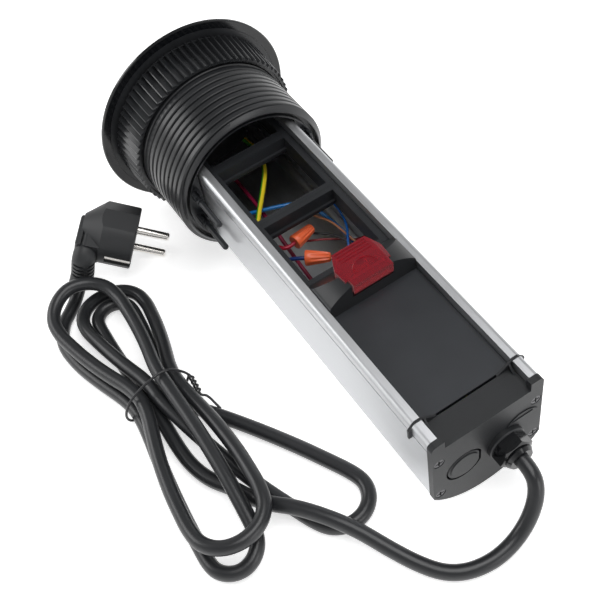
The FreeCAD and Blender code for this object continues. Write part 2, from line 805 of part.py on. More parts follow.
link_routes = [
    [(inner_x, -4.0, 103.0), (26.0, -4.0, 103.0), (25.0, -1.0, 112.0), (23.6, 1.0, 122.5), (21.2, 1.0, 133.0),
     (14.0, 0.0, 143.5), (9.5, -4.0, 154.0)],
    [(9.0, -3.0, 106.0), (12.4, -1.5, 115.5), (16.9, -1.5, 123.0), (18.4, -2.0, 134.0), (21.0, -5.0, 143.0),
     (25.0, -7.0, 149.0), (inner_x, -7.0, 149.0)],
    [(3.0, -5.2, 117.0), (6.4, -4.8, 122.5), (13.0, -4.6, 128.0), (17.8, -5.4, 137.0), (20.5, -9.5, 147.5),
     (24.6, -11.5, 156.5), (inner_x, -11.5, 156.5)],
    [(-3.5, -8.6, 118.0), (1.6, -7.8, 122.0), (10.8, -7.6, 127.6), (18.0, -8.6, 132.5), (24.4, -9.4, 137.4),
     (inner_x, -9.4, 137.4)]]
wire_nut_places = [((-7.2, 0.0, 124.5), (5.7, 0.0, 121.4)), ((-8.3, 0.0, 136.7), (2.9, 0.0, 144.6))]

# Route of the lead as it lies: from the gland's mouth down to the floor and over to the hank
lead_fall = [(160.5, 6.5, 21.5), (164.0, 0.6, 14.5), (166.0, -6.5, 8.5), (167.5, -15.5, 4.8),
             (168.0, -26.0, 3.9), (165.5, -37.5, 3.9), (159.5, -46.5, 4.1), (149.5, -53.5, 5.3),
             (137.0, -60.0, 7.8), (122.0, -66.7, 10.8), (109.0, -74.5, 12.9), (94.5, -84.2, 12.9),
             (83.5, -93.5, 10.6), (73.0, -98.8, 7.4), (61.0, -103.1, 5.1), (50.5, -109.4, 4.1),
             (38.5, -113.0, 3.9), (25.5, -114.2, 4.5), (12.0, -113.6, 5.0)]

# The hank: where the tie draws it in, each pass through the tie as (y, z), and the loops between
# passes as (x, y, fold radius, bow, heights along the loop)
tie_x = -9.5
tie_half = 8.0
hank_start = (12.0, -113.6, 5.0)
hank_end = (-31.0, -125.8, 5.0)
tie_passes = [(-113.0, 5.5), (-100.2, 5.5), (-108.8, 13.3), (-95.4, 13.4), (-117.3, 13.5),
              (-102.1, 19.9), (-121.6, 5.5)]
hank_loops = [
    (-79.5, -102.0, 10.7, 0.9, (4.4, 3.9, 3.9, 3.9, 3.9, 4.1, 4.8)),
    (97.8, -64.3, 15.9, 2.8, (4.5, 3.9, 3.9, 3.9, 3.9, 5.0, 9.2)),
    (-80.5, -101.5, 19.2, 1.6, (13.2, 11.7, 8.5, 4.4, 4.3, 7.4, 10.8)),
    (77.8, -113.3, 19.6, 3.0, (14.5, 16.4, 18.8, 17.7, 13.4, 12.8, 13.1)),
    (-83.5, -115.0, 20.0, 1.8, (12.6, 12.4, 13.8, 20.0, 15.0, 15.2, 17.4)),
    (90.0, -119.5, 13.2, 1.7, (18.6, 16.0, 10.5, 5.2, 3.9, 4.0, 4.5))]
side_steps = (0.34, 0.65, 0.87)
fold_steps = 6

# Route of the plug's end: from the hank under its outer loop into the plug's relief
tail_route = [(-31.0, -125.8, 5.0), (-44.5, -130.0, 4.5), (-63.5, -134.5, 3.9), (-81.5, -135.5, 3.9),
              (-95.0, -129.5, 3.9), (-102.0, -121.0, 3.9), (-107.4, -114.9, 4.6), (-111.0, -109.6, 8.8)]
relief_route = [(-121.3, -91.1, 27.4), (-113.0, -99.9, 26.2), (-114.6, -104.3, 13.0),
                (-111.0, -109.6, 8.8)]

# Route of the wire tie, and of its free end
tie_route = [(-9.5, -89.8, 18.2), (-9.5, -97.0, 25.2), (-9.5, -106.5, 25.4), (-9.5, -120.5, 19.8),
             (-9.5, -126.8, 12.5), (-9.5, -128.3, 5.4), (-9.5, -124.2, 0.8), (-9.5, -97.5, 0.8),
             (-9.5, -92.4, 4.6), (-9.5, -89.0, 10.5), (-9.5, -87.6, 17.2)]
tie_twist_ends = [(-7.2, -88.2, 18.6), (4.0, -88.4, 17.4)]
tie_tail_route = [(7.0, -87.4, 13.6), (11.5, -86.0, 11.0), (16.0, -84.6, 9.4), (19.5, -84.4, 6.5)]
tie_twist_turns = 3
tie_twist_radius = 1.5


def tube_path(points):
    """Straight runs joined by tangent arcs, each as large as its two runs allow."""
    edges = []
    radii = []
    here = points[0]
    for before, corner, after in zip(points, points[1:], points[2:]):
        back = before - corner
        ahead = after - corner
        cut = 0.45 * min(back.Length, ahead.Length)
        back.normalize()
        ahead.normalize()
        half_turn = (pi - back.getAngle(ahead)) / 2
        radius = cut / tan(half_turn)
        inward = back + ahead
        inward.normalize()
        middle = corner + inward * (radius / cos(half_turn) - radius)
        edges.append(Part.makeLine(here, corner + back * cut))
        edges.append(Part.Arc(corner + back * cut, middle, corner + ahead * cut).toShape())
        radii.append(radius)
        here = corner + ahead * cut
    edges.append(Part.makeLine(here, points[-1]))
    return Part.Wire(edges), min(radii)


def tube(name, points, diameter):
    """A round tube on a route, with its least bend and its volume checked against its length."""
    points = [V(*point) for point in points]
    path, least = tube_path(points)
    circle = Part.makeCircle(diameter / 2, points[0], points[1] - points[0])
    solid = path.makePipe(Part.Face(Part.Wire([circle])))
    if not solid.Solids:
        solid = Part.Solid(Part.Shell(solid.Faces))
    share = solid.Volume / (pi * diameter * diameter / 4 * path.Length)
    print(name, "length %.1f, least radius %.1f, volume over section times length %.4f"
          % (path.Length, least, share))
    return solid


def winding(start, end, radius, turns):
    """A winding round the line between two places: its ends, and a corner in each quarter turn."""
    steps = 4 * turns
    turn = FreeCAD.Rotation(V(0, 0, 1), end - start)

    def place(quarters, reach):
        offset = V(reach * cos(quarters * pi / 2), reach * sin(quarters * pi / 2), 0)
        return start + (end - start) * (quarters / steps) + turn.multVec(offset)

    corners = [place(k + 0.5, radius / cos(pi / 4)) for k in range(steps)]
    return [place(0, radius)] + corners + [place(steps, radius)]


def level(heights, share):
    """The height at a share of the way along equal steps."""
    index = min(int(share * (len(heights) - 1)), len(heights) - 2)
    part = share * (len(heights) - 1) - index
    return heights[index] + (heights[index + 1] - heights[index]) * part


def hank_side(start, end, bow, heights, steps):
    """Points along one side of a loop, bowed outward a little."""
    run = hypot(end[0] - start[0], end[1] - start[1])
    points = []
    for share in steps:
        out = bow * sin(pi * share) / run
        x = start[0] + (end[0] - start[0]) * share - (end[1] - start[1]) * out
        y = start[1] + (end[1] - start[1]) * share + (end[0] - start[0]) * out
        points.append((x, y, level(heights, share)))
    return points


def hank_loop(start, end, loop):
    """One loop of the hank: out along a side, round the fold clockwise and back to the tie."""
    x, y, radius, bow, heights = loop
    first = atan2(start[1] - y, start[0] - x) - acos(radius / hypot(start[0] - x, start[1] - y))
    last = atan2(end[1] - y, end[0] - x) + acos(radius / hypot(end[0] - x, end[1] - y))
    while last > first:
        last -= 2 * pi
    fold = []
    for k in range(fold_steps + 1):
        angle = first + (last - first) * k / fold_steps
        height = level(heights[2:5], k / fold_steps)
        fold.append((x + radius * cos(angle), y + radius * sin(angle), height))
    out = hank_side(start, fold[0], bow, (start[2],) + heights[:3], side_steps)
    back_steps = [1 - share for share in reversed(side_steps)]
    back = hank_side(fold[-1], end, bow, heights[4:] + (end[2],), back_steps)
    return out + fold + back


def hank_route():
    """The whole hank: the passes through the tie, with a loop to one side or the other between them."""
    points = [hank_start]
    side = -1
    for index, (y, z) in enumerate(tie_passes):
        leave = (tie_x + side * tie_half, y, z)
        points += [(tie_x - side * tie_half, y, z), leave]
        if index < len(hank_loops):
            next_y, next_z = tie_passes[index + 1]
            points += hank_loop(leave, (leave[0], next_y, next_z), hank_loops[index])
        side = -side
    return points + [hank_end]


def least_gap(route, diameter):
    """The least gap of a tube to itself, measured on points two millimetres apart."""
    path = tube_path([V(*point) for point in route])[0]
    step = 2.0
    points = path.discretize(Number=int(path.Length / step))
    apart = int(3.5 * diameter / step)
    least = path.Length
    for index, point in enumerate(points):
        for other in points[index + apart:]:
            least = min(least, point.distanceToPoint(other))
    return least - diameter


def sheath_end():
    """The lead's sheath inside the gland, from where its wires part to the gland's mouth."""
    return disc(cord_radius - sheath_gap, sheath_low, gland_end, gland_x, gland_y)


def wire_nut(base, tip):
    """A fluted wire connector, wide at the end where the wires go in."""
    axis = V(*tip) - V(*base)
    axis.normalize()
    shape = revolve([(0, 0), (wire_nut_base - 0.4, 0), (wire_nut_base, 0.6), (wire_nut_base - 0.3, 3.4),
                     (wire_nut_tip + 0.5, wire_nut_length - 2.2), (wire_nut_tip, wire_nut_length),
                     (0, wire_nut_length)])
    for k in range(wire_nut_flutes):
        angle = 2 * pi * k / wire_nut_flutes
        flute = disc(wire_nut_flute_radius, wire_nut_flute_start, wire_nut_length + past,
                     wire_nut_base * cos(angle), wire_nut_base * sin(angle))
        shape = shape.cut(flute)
    shape.Placement = FreeCAD.Placement(V(*base), FreeCAD.Rotation(V(0, 0, 1), axis))
    return shape


def plug_frame():
    """The plug's own axes: x along its lead, y out of its face, z up through both pins."""
    turn = FreeCAD.Rotation(V(0, 0, 1), plug_heading)
    roll = FreeCAD.Rotation(V(0, 1, 0), plug_roll)
    dip = FreeCAD.Rotation(V(1, 0, 0), -plug_dip)
    return FreeCAD.Placement(V(*plug_face), turn.multiply(dip).multiply(roll))


def contact_strip(side, outer, half, low, high):
    """A strip on the plug's rim, on the lead's side or the other, or the recess that it lies in."""
    inner = side * (plug_radius - contact_recess)
    outer = side * outer
    return box(min(inner, outer), max(inner, outer), low, high, -half, half)


def plug_body():
    """The moulded plug: a round face, a cone behind it, the lead's spine, a finger grip and the relief."""
    face = bar_along_y(plug_radius, -plug_depth, 0.0)
    face = face.makeFillet(plug_edge_round, [face.Edges[0]])
    cone = Part.makeCone(plug_radius, plug_cone_radius, plug_cone_length, V(0, -plug_depth, 0), V(0, -1, 0))
    flats = prism_along_y(plug_flats, -plug_depth - plug_cone_length, 0.0)
    spine_low = -plug_depth - spine_depth
    spine = box(spine_start, spine_end, spine_low, -plug_depth, -spine_half, spine_half)
    spine = spine.makeFillet(spine_round, [edge for edge in spine.Edges if edge.BoundBox.YMax < -plug_depth])
    neck = box(grip_start + grip_inset, grip_end - grip_inset, spine_low - grip_neck, spine_low,
               grip_inset - grip_half, grip_half - grip_inset)
    grip_top = spine_low - grip_neck
    grip = box(grip_start, grip_end, grip_top - grip_depth, grip_top, -grip_half, grip_half)
    rear = [edge for edge in grip.Edges if edge.BoundBox.YMax < grip_top - fit_gap]
    grip = grip.makeFillet(grip_inset, rear)
    shape = face.fuse(cone).common(flats).fuse(spine).fuse(neck).fuse(grip)
    for side in (-1, 1):
        recess = contact_strip(side, plug_radius + past, contact_width / 2 + contact_gap,
                               contact_margin - plug_depth, past)
        shank = bar_along_y(plug_pin_radius - pin_shoulder, -pin_seat, past, 0.0, side * pin_spacing / 2)
        shape = shape.cut(recess).cut(shank)
    shape.Placement = plug_frame()
    relief = tube("relief", relief_route, relief_diameter)
    for cut in relief_cuts():
        relief = relief.cut(cut)
    return fuse([shape, relief])


def relief_cuts():
    """The two rows of slots that let the relief bend."""
    cuts = []
    end = V(*relief_route[-2])
    back = V(*relief_route[-3]) - end
    back.normalize()
    for k in range(relief_slots):
        for side in (-1, 1):
            slot = box(-slot_half_length, slot_half_length, relief_diameter / 2 - slot_depth,
                       relief_diameter, -slot_width / 2, slot_width / 2)
            slot.rotate(V(0, 0, 0), V(0, 0, 1), slot_turn + slot_angle * side)
            turn = FreeCAD.Rotation(V(0, 0, 1), back)
            place = FreeCAD.Placement(end + back * (first_slot + k * slot_pitch), turn)
            slot.Placement = place.multiply(slot.Placement)
            cuts.append(slot)
    return cuts


def plug_pins():
    """The two round pins with rounded tips, each on a slimmer shank that is moulded into the face."""
    pins = []
    for side in (-1, 1):
        z = side * pin_spacing / 2
        rod = bar_along_y(plug_pin_radius, 0.0, pin_length, 0.0, z)
        tip = [edge for edge in rod.Edges if edge.BoundBox.YMin > pin_length - fit_gap]
        rod = rod.makeFillet(plug_pin_radius / 2, tip)
        rod = fuse([rod, bar_along_y(plug_pin_radius - pin_shoulder, -pin_seat, 0.0, 0.0, z)])
        rod.Placement = plug_frame()
        pins.append(rod)
    return Part.makeCompound(pins)


def plug_earth_contacts():
    """The two spring strips on the rim, set back from the face and flush with their recesses' floor."""
    strips = []
    outer = plug_radius - contact_recess + contact_thickness
    for side in (-1, 1):
        strip = contact_strip(side, outer, contact_width / 2, contact_margin - plug_depth, -contact_front_gap)
        strip.Placement = plug_frame()
        strips.append(strip)
    return Part.makeCompound(strips)


def twist_tie():
    """The wire tie: a loop round the hank and a twisted end that trails over it."""
    loop = tube("tie", tie_route, tie_diameter)
    wound = winding(V(*tie_twist_ends[0]), V(*tie_twist_ends[1]), tie_twist_radius, tie_twist_turns)
    tail = tube("tie end", wound + tie_tail_route, tie_diameter)
    return Part.makeCompound([loop, tail])


def lay_down(shape):
    """Turn a piece from the column's axes to the way the column lies."""
    c = cos(tilt)
    s = sin(tilt)
    lift = flange_radius * c + rim_z * s
    matrix = FreeCAD.Matrix(0, s, c, -origin_x, 1, 0, 0, 0, 0, c, -s, lift, 0, 0, 0, 1)
    return shape.transformed(matrix, True)


def lay_point(x, y, z):
    """A place in the column's axes, where it lies."""
    point = lay_down(Part.Vertex(x, y, z)).Point
    return (point.x, point.y, point.z)


nodes = {}


def add(name, shape):
    nodes[name] = lay_down(shape)


add("column_profile", column_profile())
add("top_cap", top_cap())
for index in range(bay_count):
    add("module_frame_%d" % (index + 1), module_frame(index))
add("latch_bridge", latch_bridge())
add("latch_button", latch_button())
add("latch_spring", latch_spring())
add("blank_cover", blank_cover())
add("end_cap", end_cap())
add("end_cap_screws", end_cap_screws())
add("blanking_plug", blanking_plug())
add("exit_insert", exit_insert())
add("gland_body", gland_body())
add("gland_nut", gland_nut())
add("gland_back_nut", gland_back_nut())
add("sheath_end", sheath_end())
add("earth_wire", tube("earth wire", earth_route, core_diameter))
add("neutral_wire", tube("neutral wire", neutral_route, lead_diameter))
add("live_wire", tube("live wire", live_route, lead_diameter))
add("splice_wire_red", tube("red splice", splice_red_route, lead_diameter))
add("splice_wire_blue", tube("blue splice", splice_blue_route, lead_diameter))
for index, route in enumerate(link_routes):
    add("link_wire_%d" % (index + 1), tube("link %d" % (index + 1), route, link_diameter))
for index, (base, tip) in enumerate(wire_nut_places):
    add("wire_nut_%d" % (index + 1), wire_nut(base, tip))
add("flange_ring", flange_ring())
add("threaded_collar", threaded_collar())
add("guide_pins", guide_pins())
add("nut_washer", nut_washer())
add("clamping_nut", clamping_nut())

lead_route = [lay_point(gland_x, gland_y, gland_end), lay_point(gland_x, gland_y, gland_end + lead_stub)]
nodes["cord_lead"] = tube("lead", lead_route + lead_fall, cord_diameter)
nodes["cord_hank"] = tube("hank", hank_route(), cord_diameter)
nodes["cord_tail"] = tube("plug end", tail_route, cord_diameter)
whole_route = lead_route + lead_fall[:-1] + hank_route()[1:-1] + tail_route[1:]
print("cord least gap to itself %.2f" % least_gap(whole_route, cord_diameter))
nodes["twist_tie"] = twist_tie()
nodes["plug_body"] = plug_body()
nodes["plug_pins"] = plug_pins()
nodes["plug_earth_contacts"] = plug_earth_contacts()

os.makedirs("parts", exist_ok=True)
for name, shape in nodes.items():
    shape.exportStep("parts/%s.step" % name)
    print(name, "valid", shape.isValid(), "solids", len(shape.Solids), "volume", round(shape.Volume, 1))
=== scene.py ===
"""Looks of the mini power column: finishes, thread, wires, the lead and a studio stage.

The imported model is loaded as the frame. This script gives its parts their finishes, puts finer
pieces in place of the outlet's blank, the latch's spring, the wires and their connectors, the
collar, the nut, the lead and its tie, and adds the floor, the lamps and the camera. Lengths are in
metres where a name or a comment doesn't say otherwise.
"""
import json
from math import acos, atan2, cos, hypot, pi, radians, sin

import bmesh
import bpy
from mathutils import Matrix, Vector


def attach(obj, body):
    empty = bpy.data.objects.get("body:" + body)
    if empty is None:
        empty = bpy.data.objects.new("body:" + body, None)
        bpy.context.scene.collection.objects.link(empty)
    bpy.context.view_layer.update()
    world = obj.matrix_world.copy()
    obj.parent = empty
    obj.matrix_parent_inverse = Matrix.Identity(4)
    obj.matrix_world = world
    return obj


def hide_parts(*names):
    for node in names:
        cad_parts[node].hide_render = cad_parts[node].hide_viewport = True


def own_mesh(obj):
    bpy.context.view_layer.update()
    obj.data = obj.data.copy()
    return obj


bl_info = {
    "name": "Mini power column",
    "version": (1, 0, 0),
    "blender": (4, 5, 0),
    "location": "3D View > Sidebar > Power column",
    "description": "Finishes, thread, nut, wires and lead of a mini power column",
    "category": "Object",
}

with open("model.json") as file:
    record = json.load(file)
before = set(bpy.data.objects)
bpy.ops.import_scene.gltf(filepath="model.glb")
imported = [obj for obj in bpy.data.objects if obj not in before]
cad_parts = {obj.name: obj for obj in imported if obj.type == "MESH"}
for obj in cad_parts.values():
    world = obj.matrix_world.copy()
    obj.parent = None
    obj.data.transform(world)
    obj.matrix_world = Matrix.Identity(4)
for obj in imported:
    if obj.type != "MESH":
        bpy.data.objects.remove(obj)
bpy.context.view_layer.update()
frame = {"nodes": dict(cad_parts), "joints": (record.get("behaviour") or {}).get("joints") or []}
nodes = frame["nodes"]
MM = 0.001

# The column's axes, read from the joint on which the nut turns: its axis runs along the column, and
# its place is NUT_JOINT_REACH along the column from the flange's face
NUT_JOINT_REACH = 16.0 * MM
nut_joint = next(joint for joint in frame["joints"] if joint["name"] == "nut_turn")
along = Vector(nut_joint["axis"]).normalized()
across = Vector((0.0, 1.0, 0.0))
outward = along.cross(across)
column_start = Vector(nut_joint["pos_m"]) - along * NUT_JOINT_REACH


def in_column(x, y, z):
    """A place given across the column, out of its face and along it, in millimetres."""
    return column_start + (across * x + outward * y + along * z) * MM


class ColumnColours(bpy.types.PropertyGroup):
    """Colours of the finishes."""
    shell: bpy.props.FloatVectorProperty(
        name="Shell", description="Moulded black plastic", subtype="COLOR", size=3,
        default=(0.0165, 0.0175, 0.0192))
    gloss: bpy.props.FloatVectorProperty(
        name="Flange", description="Polished black plastic", subtype="COLOR", size=3,
        default=(0.0045, 0.005, 0.006))
    channel: bpy.props.FloatVectorProperty(
        name="Channel", description="Satin aluminium", subtype="COLOR", size=3,
        default=(0.59, 0.60, 0.615))
    latch: bpy.props.FloatVectorProperty(
        name="Latch", description="Tinted clear plastic", subtype="COLOR", size=3,
        default=(0.66, 0.012, 0.042))
    lead: bpy.props.FloatVectorProperty(
        name="Lead", description="Lead's sheath", subtype="COLOR", size=3,
        default=(0.018, 0.019, 0.021))
    floor: bpy.props.FloatVectorProperty(
        name="Floor", description="Studio floor", subtype="COLOR", size=3,
        default=(0.93, 0.93, 0.93))


class ThreadSizes(bpy.types.PropertyGroup):
    """Sizes of the collar, in metres."""
    crest_radius: bpy.props.FloatProperty(
        name="Crest radius", description="Radius over the thread", default=46.4 * MM, unit="LENGTH")
    depth: bpy.props.FloatProperty(
        name="Thread depth", description="From crest to root", default=1.9 * MM, unit="LENGTH")
    pitch: bpy.props.FloatProperty(
        name="Pitch", description="Advance in one turn", default=4.5 * MM, unit="LENGTH")
    bore_radius: bpy.props.FloatProperty(
        name="Bore radius", description="Radius of the collar's bore", default=39.93 * MM, unit="LENGTH")
    length: bpy.props.FloatProperty(
        name="Length", description="From the flange's face to the collar's end", default=71.7 * MM,
        unit="LENGTH")


class LeadSizes(bpy.types.PropertyGroup):
    """Sizes of the lead, in metres."""
    diameter: bpy.props.FloatProperty(
        name="Diameter", description="Lead's diameter", default=7.8 * MM, unit="LENGTH")
    length: bpy.props.FloatProperty(
        name="Length", description="From the gland to the plug's relief", default=1.73, unit="LENGTH")


# Materials

WHITE = (1.0, 1.0, 1.0, 1.0)

# Moulded surfaces: the scale and detail of their clouds, the part of the clouds that goes from dark to
# light, and the grain's detail
CLOUD_SCALE = 38.0
CLOUD_DETAIL = 4.0
CLOUD_RANGE = (0.3, 0.7)
GRAIN_DETAIL = 2.0

# Drawn metal: how each axis is scaled before the noise, so that its lines run along X, and their detail
LINE_STRETCH = (0.012, 1.0, 1.0)
LINE_DETAIL = 3.0

# The striped sheath: the way that its stripe faces, the facing at which the stripe fades in, and the
# scale and the uneven polish of its grain
STRIPE_FACING = (-0.42, -0.86, 0.28)
STRIPE_RANGE = (0.42, 0.50)
SHEATH_GRAIN = 1200.0
SHEATH_POLISH = 0.08


def join(tree, pairs):
    """Link each output of the pairs to its input."""
    for source, target in pairs:
        tree.links.new(source, target)


def new_group(name, inputs, outputs):
    """A node group with its sockets; an input whose default has four numbers is a colour."""
    group = bpy.data.node_groups.new(name, "ShaderNodeTree")
    for key, default in inputs.items():
        kind = "NodeSocketColor" if isinstance(default, tuple) else "NodeSocketFloat"
        made = group.interface.new_socket(name=key, in_out="INPUT", socket_type=kind)
        made.default_value = default
    group.interface.new_socket(name="Colour", in_out="OUTPUT", socket_type="NodeSocketColor")
    for key in outputs:
        group.interface.new_socket(name=key, in_out="OUTPUT", socket_type="NodeSocketFloat")
    return group


def maths(tree, operation, fixed=()):
    """A maths node, with the inputs that stay fixed as (number, value)."""
    node = tree.nodes.new("ShaderNodeMath")
    node.operation = operation
    for number, value in fixed:
        node.inputs[number].default_value = value
    return node


def moulded_group():
    """Moulded plastic or rubber: slight clouds of tone, uneven polish and a fine grain."""
    group = new_group("Moulded surface", {
        "Colour": (0.05, 0.05, 0.05, 1.0), "Tone spread": 0.1, "Roughness": 0.5, "Polish spread": 0.08,
        "Grain size": 1800.0}, ("Roughness", "Grain"))
    made = group.nodes
    given = made.new("NodeGroupInput").outputs
    result = made.new("NodeGroupOutput").inputs
    place = made.new("ShaderNodeTexCoord")
    clouds = made.new("ShaderNodeTexNoise")
    clouds.inputs["Scale"].default_value = CLOUD_SCALE
    clouds.inputs["Detail"].default_value = CLOUD_DETAIL
    tone = made.new("ShaderNodeMapRange")
    tone.inputs["From Min"].default_value = CLOUD_RANGE[0]
    tone.inputs["From Max"].default_value = CLOUD_RANGE[1]
    low = maths(group, "SUBTRACT", [(0, 1.0)])
    high = maths(group, "ADD", [(0, 1.0)])
    shade = made.new("ShaderNodeVectorMath")
    shade.operation = "SCALE"
    fine = made.new("ShaderNodeTexNoise")
    fine.inputs["Detail"].default_value = GRAIN_DETAIL
    polish = maths(group, "MULTIPLY_ADD")
    centre = maths(group, "SUBTRACT", [(1, 0.5)])
    join(group, [
        (place.outputs["Object"], clouds.inputs["Vector"]),
        (place.outputs["Object"], fine.inputs["Vector"]),
        (given["Grain size"], fine.inputs["Scale"]),
        (clouds.outputs["Fac"], tone.inputs["Value"]),
        (given["Tone spread"], low.inputs[1]),
        (given["Tone spread"], high.inputs[1]),
        (low.outputs[0], tone.inputs["To Min"]),
        (high.outputs[0], tone.inputs["To Max"]),
        (given["Colour"], shade.inputs[0]),
        (tone.outputs["Result"], shade.inputs["Scale"]),
        (clouds.outputs["Fac"], centre.inputs[0]),
        (centre.outputs[0], polish.inputs[0]),
        (given["Polish spread"], polish.inputs[1]),
        (given["Roughness"], polish.inputs[2]),
        (shade.outputs["Vector"], result["Colour"]),
        (polish.outputs[0], result["Roughness"]),
        (fine.outputs["Fac"], result["Grain"])])
    return group


def drawn_group():
    """Drawn or brushed metal: fine lines along X and a slow change of tone."""
    group = new_group("Drawn lines", {
        "Colour": (0.7, 0.7, 0.7, 1.0), "Roughness": 0.35, "Line density": 700.0, "Line strength": 0.1},
        ("Roughness", "Lines"))
    made = group.nodes
    given = made.new("NodeGroupInput").outputs
    result = made.new("NodeGroupOutput").inputs
    place = made.new("ShaderNodeTexCoord")
    stretch = made.new("ShaderNodeVectorMath")
    stretch.operation = "MULTIPLY"
    stretch.inputs[1].default_value = LINE_STRETCH
    lines = made.new("ShaderNodeTexNoise")
    lines.inputs["Detail"].default_value = LINE_DETAIL
    centre = maths(group, "SUBTRACT", [(1, 0.5)])
    tone = maths(group, "MULTIPLY_ADD", [(2, 1.0)])
    shade = made.new("ShaderNodeVectorMath")
    shade.operation = "SCALE"
    polish = maths(group, "MULTIPLY_ADD")
    join(group, [
        (place.outputs["Object"], stretch.inputs[0]),
        (stretch.outputs["Vector"], lines.inputs["Vector"]),
        (given["Line density"], lines.inputs["Scale"]),
        (lines.outputs["Fac"], centre.inputs[0]),
        (centre.outputs[0], tone.inputs[0]),
        (given["Line strength"], tone.inputs[1]),
        (given["Colour"], shade.inputs[0]),
        (tone.outputs[0], shade.inputs["Scale"]),
        (centre.outputs[0], polish.inputs[0]),
        (given["Line strength"], polish.inputs[1]),
        (given["Roughness"], polish.inputs[2]),
        (shade.outputs["Vector"], result["Colour"]),
        (polish.outputs[0], result["Roughness"]),
        (lines.outputs["Fac"], result["Lines"])])
    return group


def striped_group():
    """A wire's sheath with a stripe of a second colour along one side of it."""
    group = new_group("Striped sheath", {
        "Colour": (0.8, 0.7, 0.1, 1.0), "Stripe": (0.1, 0.4, 0.1, 1.0), "Roughness": 0.4},
        ("Roughness", "Grain"))
    made = group.nodes
    given = made.new("NodeGroupInput").outputs
    result = made.new("NodeGroupOutput").inputs
    place = made.new("ShaderNodeTexCoord")
    facing = made.new("ShaderNodeNewGeometry")
    side = made.new("ShaderNodeVectorMath")
    side.operation = "DOT_PRODUCT"
    side.inputs[1].default_value = STRIPE_FACING
    edge = made.new("ShaderNodeMapRange")
    edge.inputs["From Min"].default_value = STRIPE_RANGE[0]
    edge.inputs["From Max"].default_value = STRIPE_RANGE[1]
    mixed = made.new("ShaderNodeMix")
    mixed.data_type = "RGBA"
    fine = made.new("ShaderNodeTexNoise")
    fine.inputs["Scale"].default_value = SHEATH_GRAIN
    polish = maths(group, "MULTIPLY_ADD", [(1, SHEATH_POLISH)])
    join(group, [
        (facing.outputs["Normal"], side.inputs[0]),
        (side.outputs["Value"], edge.inputs["Value"]),
        (edge.outputs["Result"], mixed.inputs[0]),
        (given["Colour"], mixed.inputs[6]),
        (given["Stripe"], mixed.inputs[7]),
        (place.outputs["Object"], fine.inputs["Vector"]),
        (fine.outputs["Fac"], polish.inputs[0]),
        (given["Roughness"], polish.inputs[2]),
        (mixed.outputs[2], result["Colour"]),
        (polish.outputs[0], result["Roughness"]),
        (fine.outputs["Fac"], result["Grain"])])
    return group


groups = {}


def group_node(tree, name, make):
    """A node that holds a shared group, which is made when it is first asked for."""
    if name not in groups:
        groups[name] = make()
    node = tree.nodes.new("ShaderNodeGroup")
    node.node_tree = groups[name]
    return node


def surface(name, group_name, make, values, relief, depth, shader_values):
    """A material whose colour, roughness and fine relief come from a shared group."""
    material = bpy.data.materials.new(name)
    material.use_nodes = True
    tree = material.node_tree
    shader = tree.nodes["Principled BSDF"]
    group = group_node(tree, group_name, make)
    for key, value in values.items():
        group.inputs[key].default_value = value
    bump = tree.nodes.new("ShaderNodeBump")
    bump.inputs["Strength"].default_value = 1.0
    bump.inputs["Distance"].default_value = depth
    join(tree, [
        (group.outputs["Colour"], shader.inputs["Base Color"]),
        (group.outputs["Roughness"], shader.inputs["Roughness"]),
        (group.outputs[relief], bump.inputs["Height"]),
        (bump.outputs["Normal"], shader.inputs["Normal"])])
    for key, value in shader_values.items():
        shader.inputs[key].default_value = value
    return material


def moulded(name, colour, roughness, grain, depth, tone=0.12, polish=0.12, sheen=0.5):
    """A moulded finish, where sheen is the shader's specular level."""
    values = {"Colour": (*colour, 1.0), "Roughness": roughness, "Grain size": grain,
              "Tone spread": tone, "Polish spread": polish}
    return surface(name, "moulded", moulded_group, values, "Grain", depth, {"Specular IOR Level": sheen})


def drawn(name, colour, roughness, density=900.0, strength=0.16):
    """A metal finish with drawn lines."""
    values = {"Colour": (*colour, 1.0), "Roughness": roughness, "Line density": density,
              "Line strength": strength}
    return surface(name, "drawn", drawn_group, values, "Lines", LINE_DEPTH, {"Metallic": 1.0})


def dress(material, *names):
    """Give a finish to nodes of the frame."""
    for name in names:
        data = nodes[name].data
        data.materials.clear()
        data.materials.append(material)


# Meshes and curves

def ring_of(mesh, radius, height, steps):
    """A round ring of points about the axis."""
    points = []
    for k in range(steps):
        angle = 2 * pi * k / steps
        points.append(mesh.verts.new((radius * cos(angle), radius * sin(angle), height)))
    return points


def bridge_rings(mesh, rings):
    """Faces from each ring to the next."""
    steps = len(rings[0])
    for lower, upper in zip(rings, rings[1:]):
        for k in range(steps):
            nxt = (k + 1) % steps
            mesh.faces.new((lower[k], lower[nxt], upper[nxt], upper[k]))


def finished_object(name, mesh, matrix, sharp=35.0):
    """Turn a bmesh into an object in the row frame, smooth but for edges past an angle in degrees."""
    bmesh.ops.recalc_face_normals(mesh, faces=mesh.faces[:])
    data = bpy.data.meshes.new(name)
    mesh.to_mesh(data)
    mesh.free()
    data.transform(matrix)
    data.shade_smooth()
    data.set_sharp_from_angle(angle=radians(sharp))
    piece = bpy.data.objects.new(name, data)
    bpy.context.scene.collection.objects.link(piece)
    return piece


def column_matrix():
    """From the column's axes, in metres, to the row frame."""
    turn = Matrix((across, outward, along)).transposed().to_4x4()
    return Matrix.Translation(column_start) @ turn


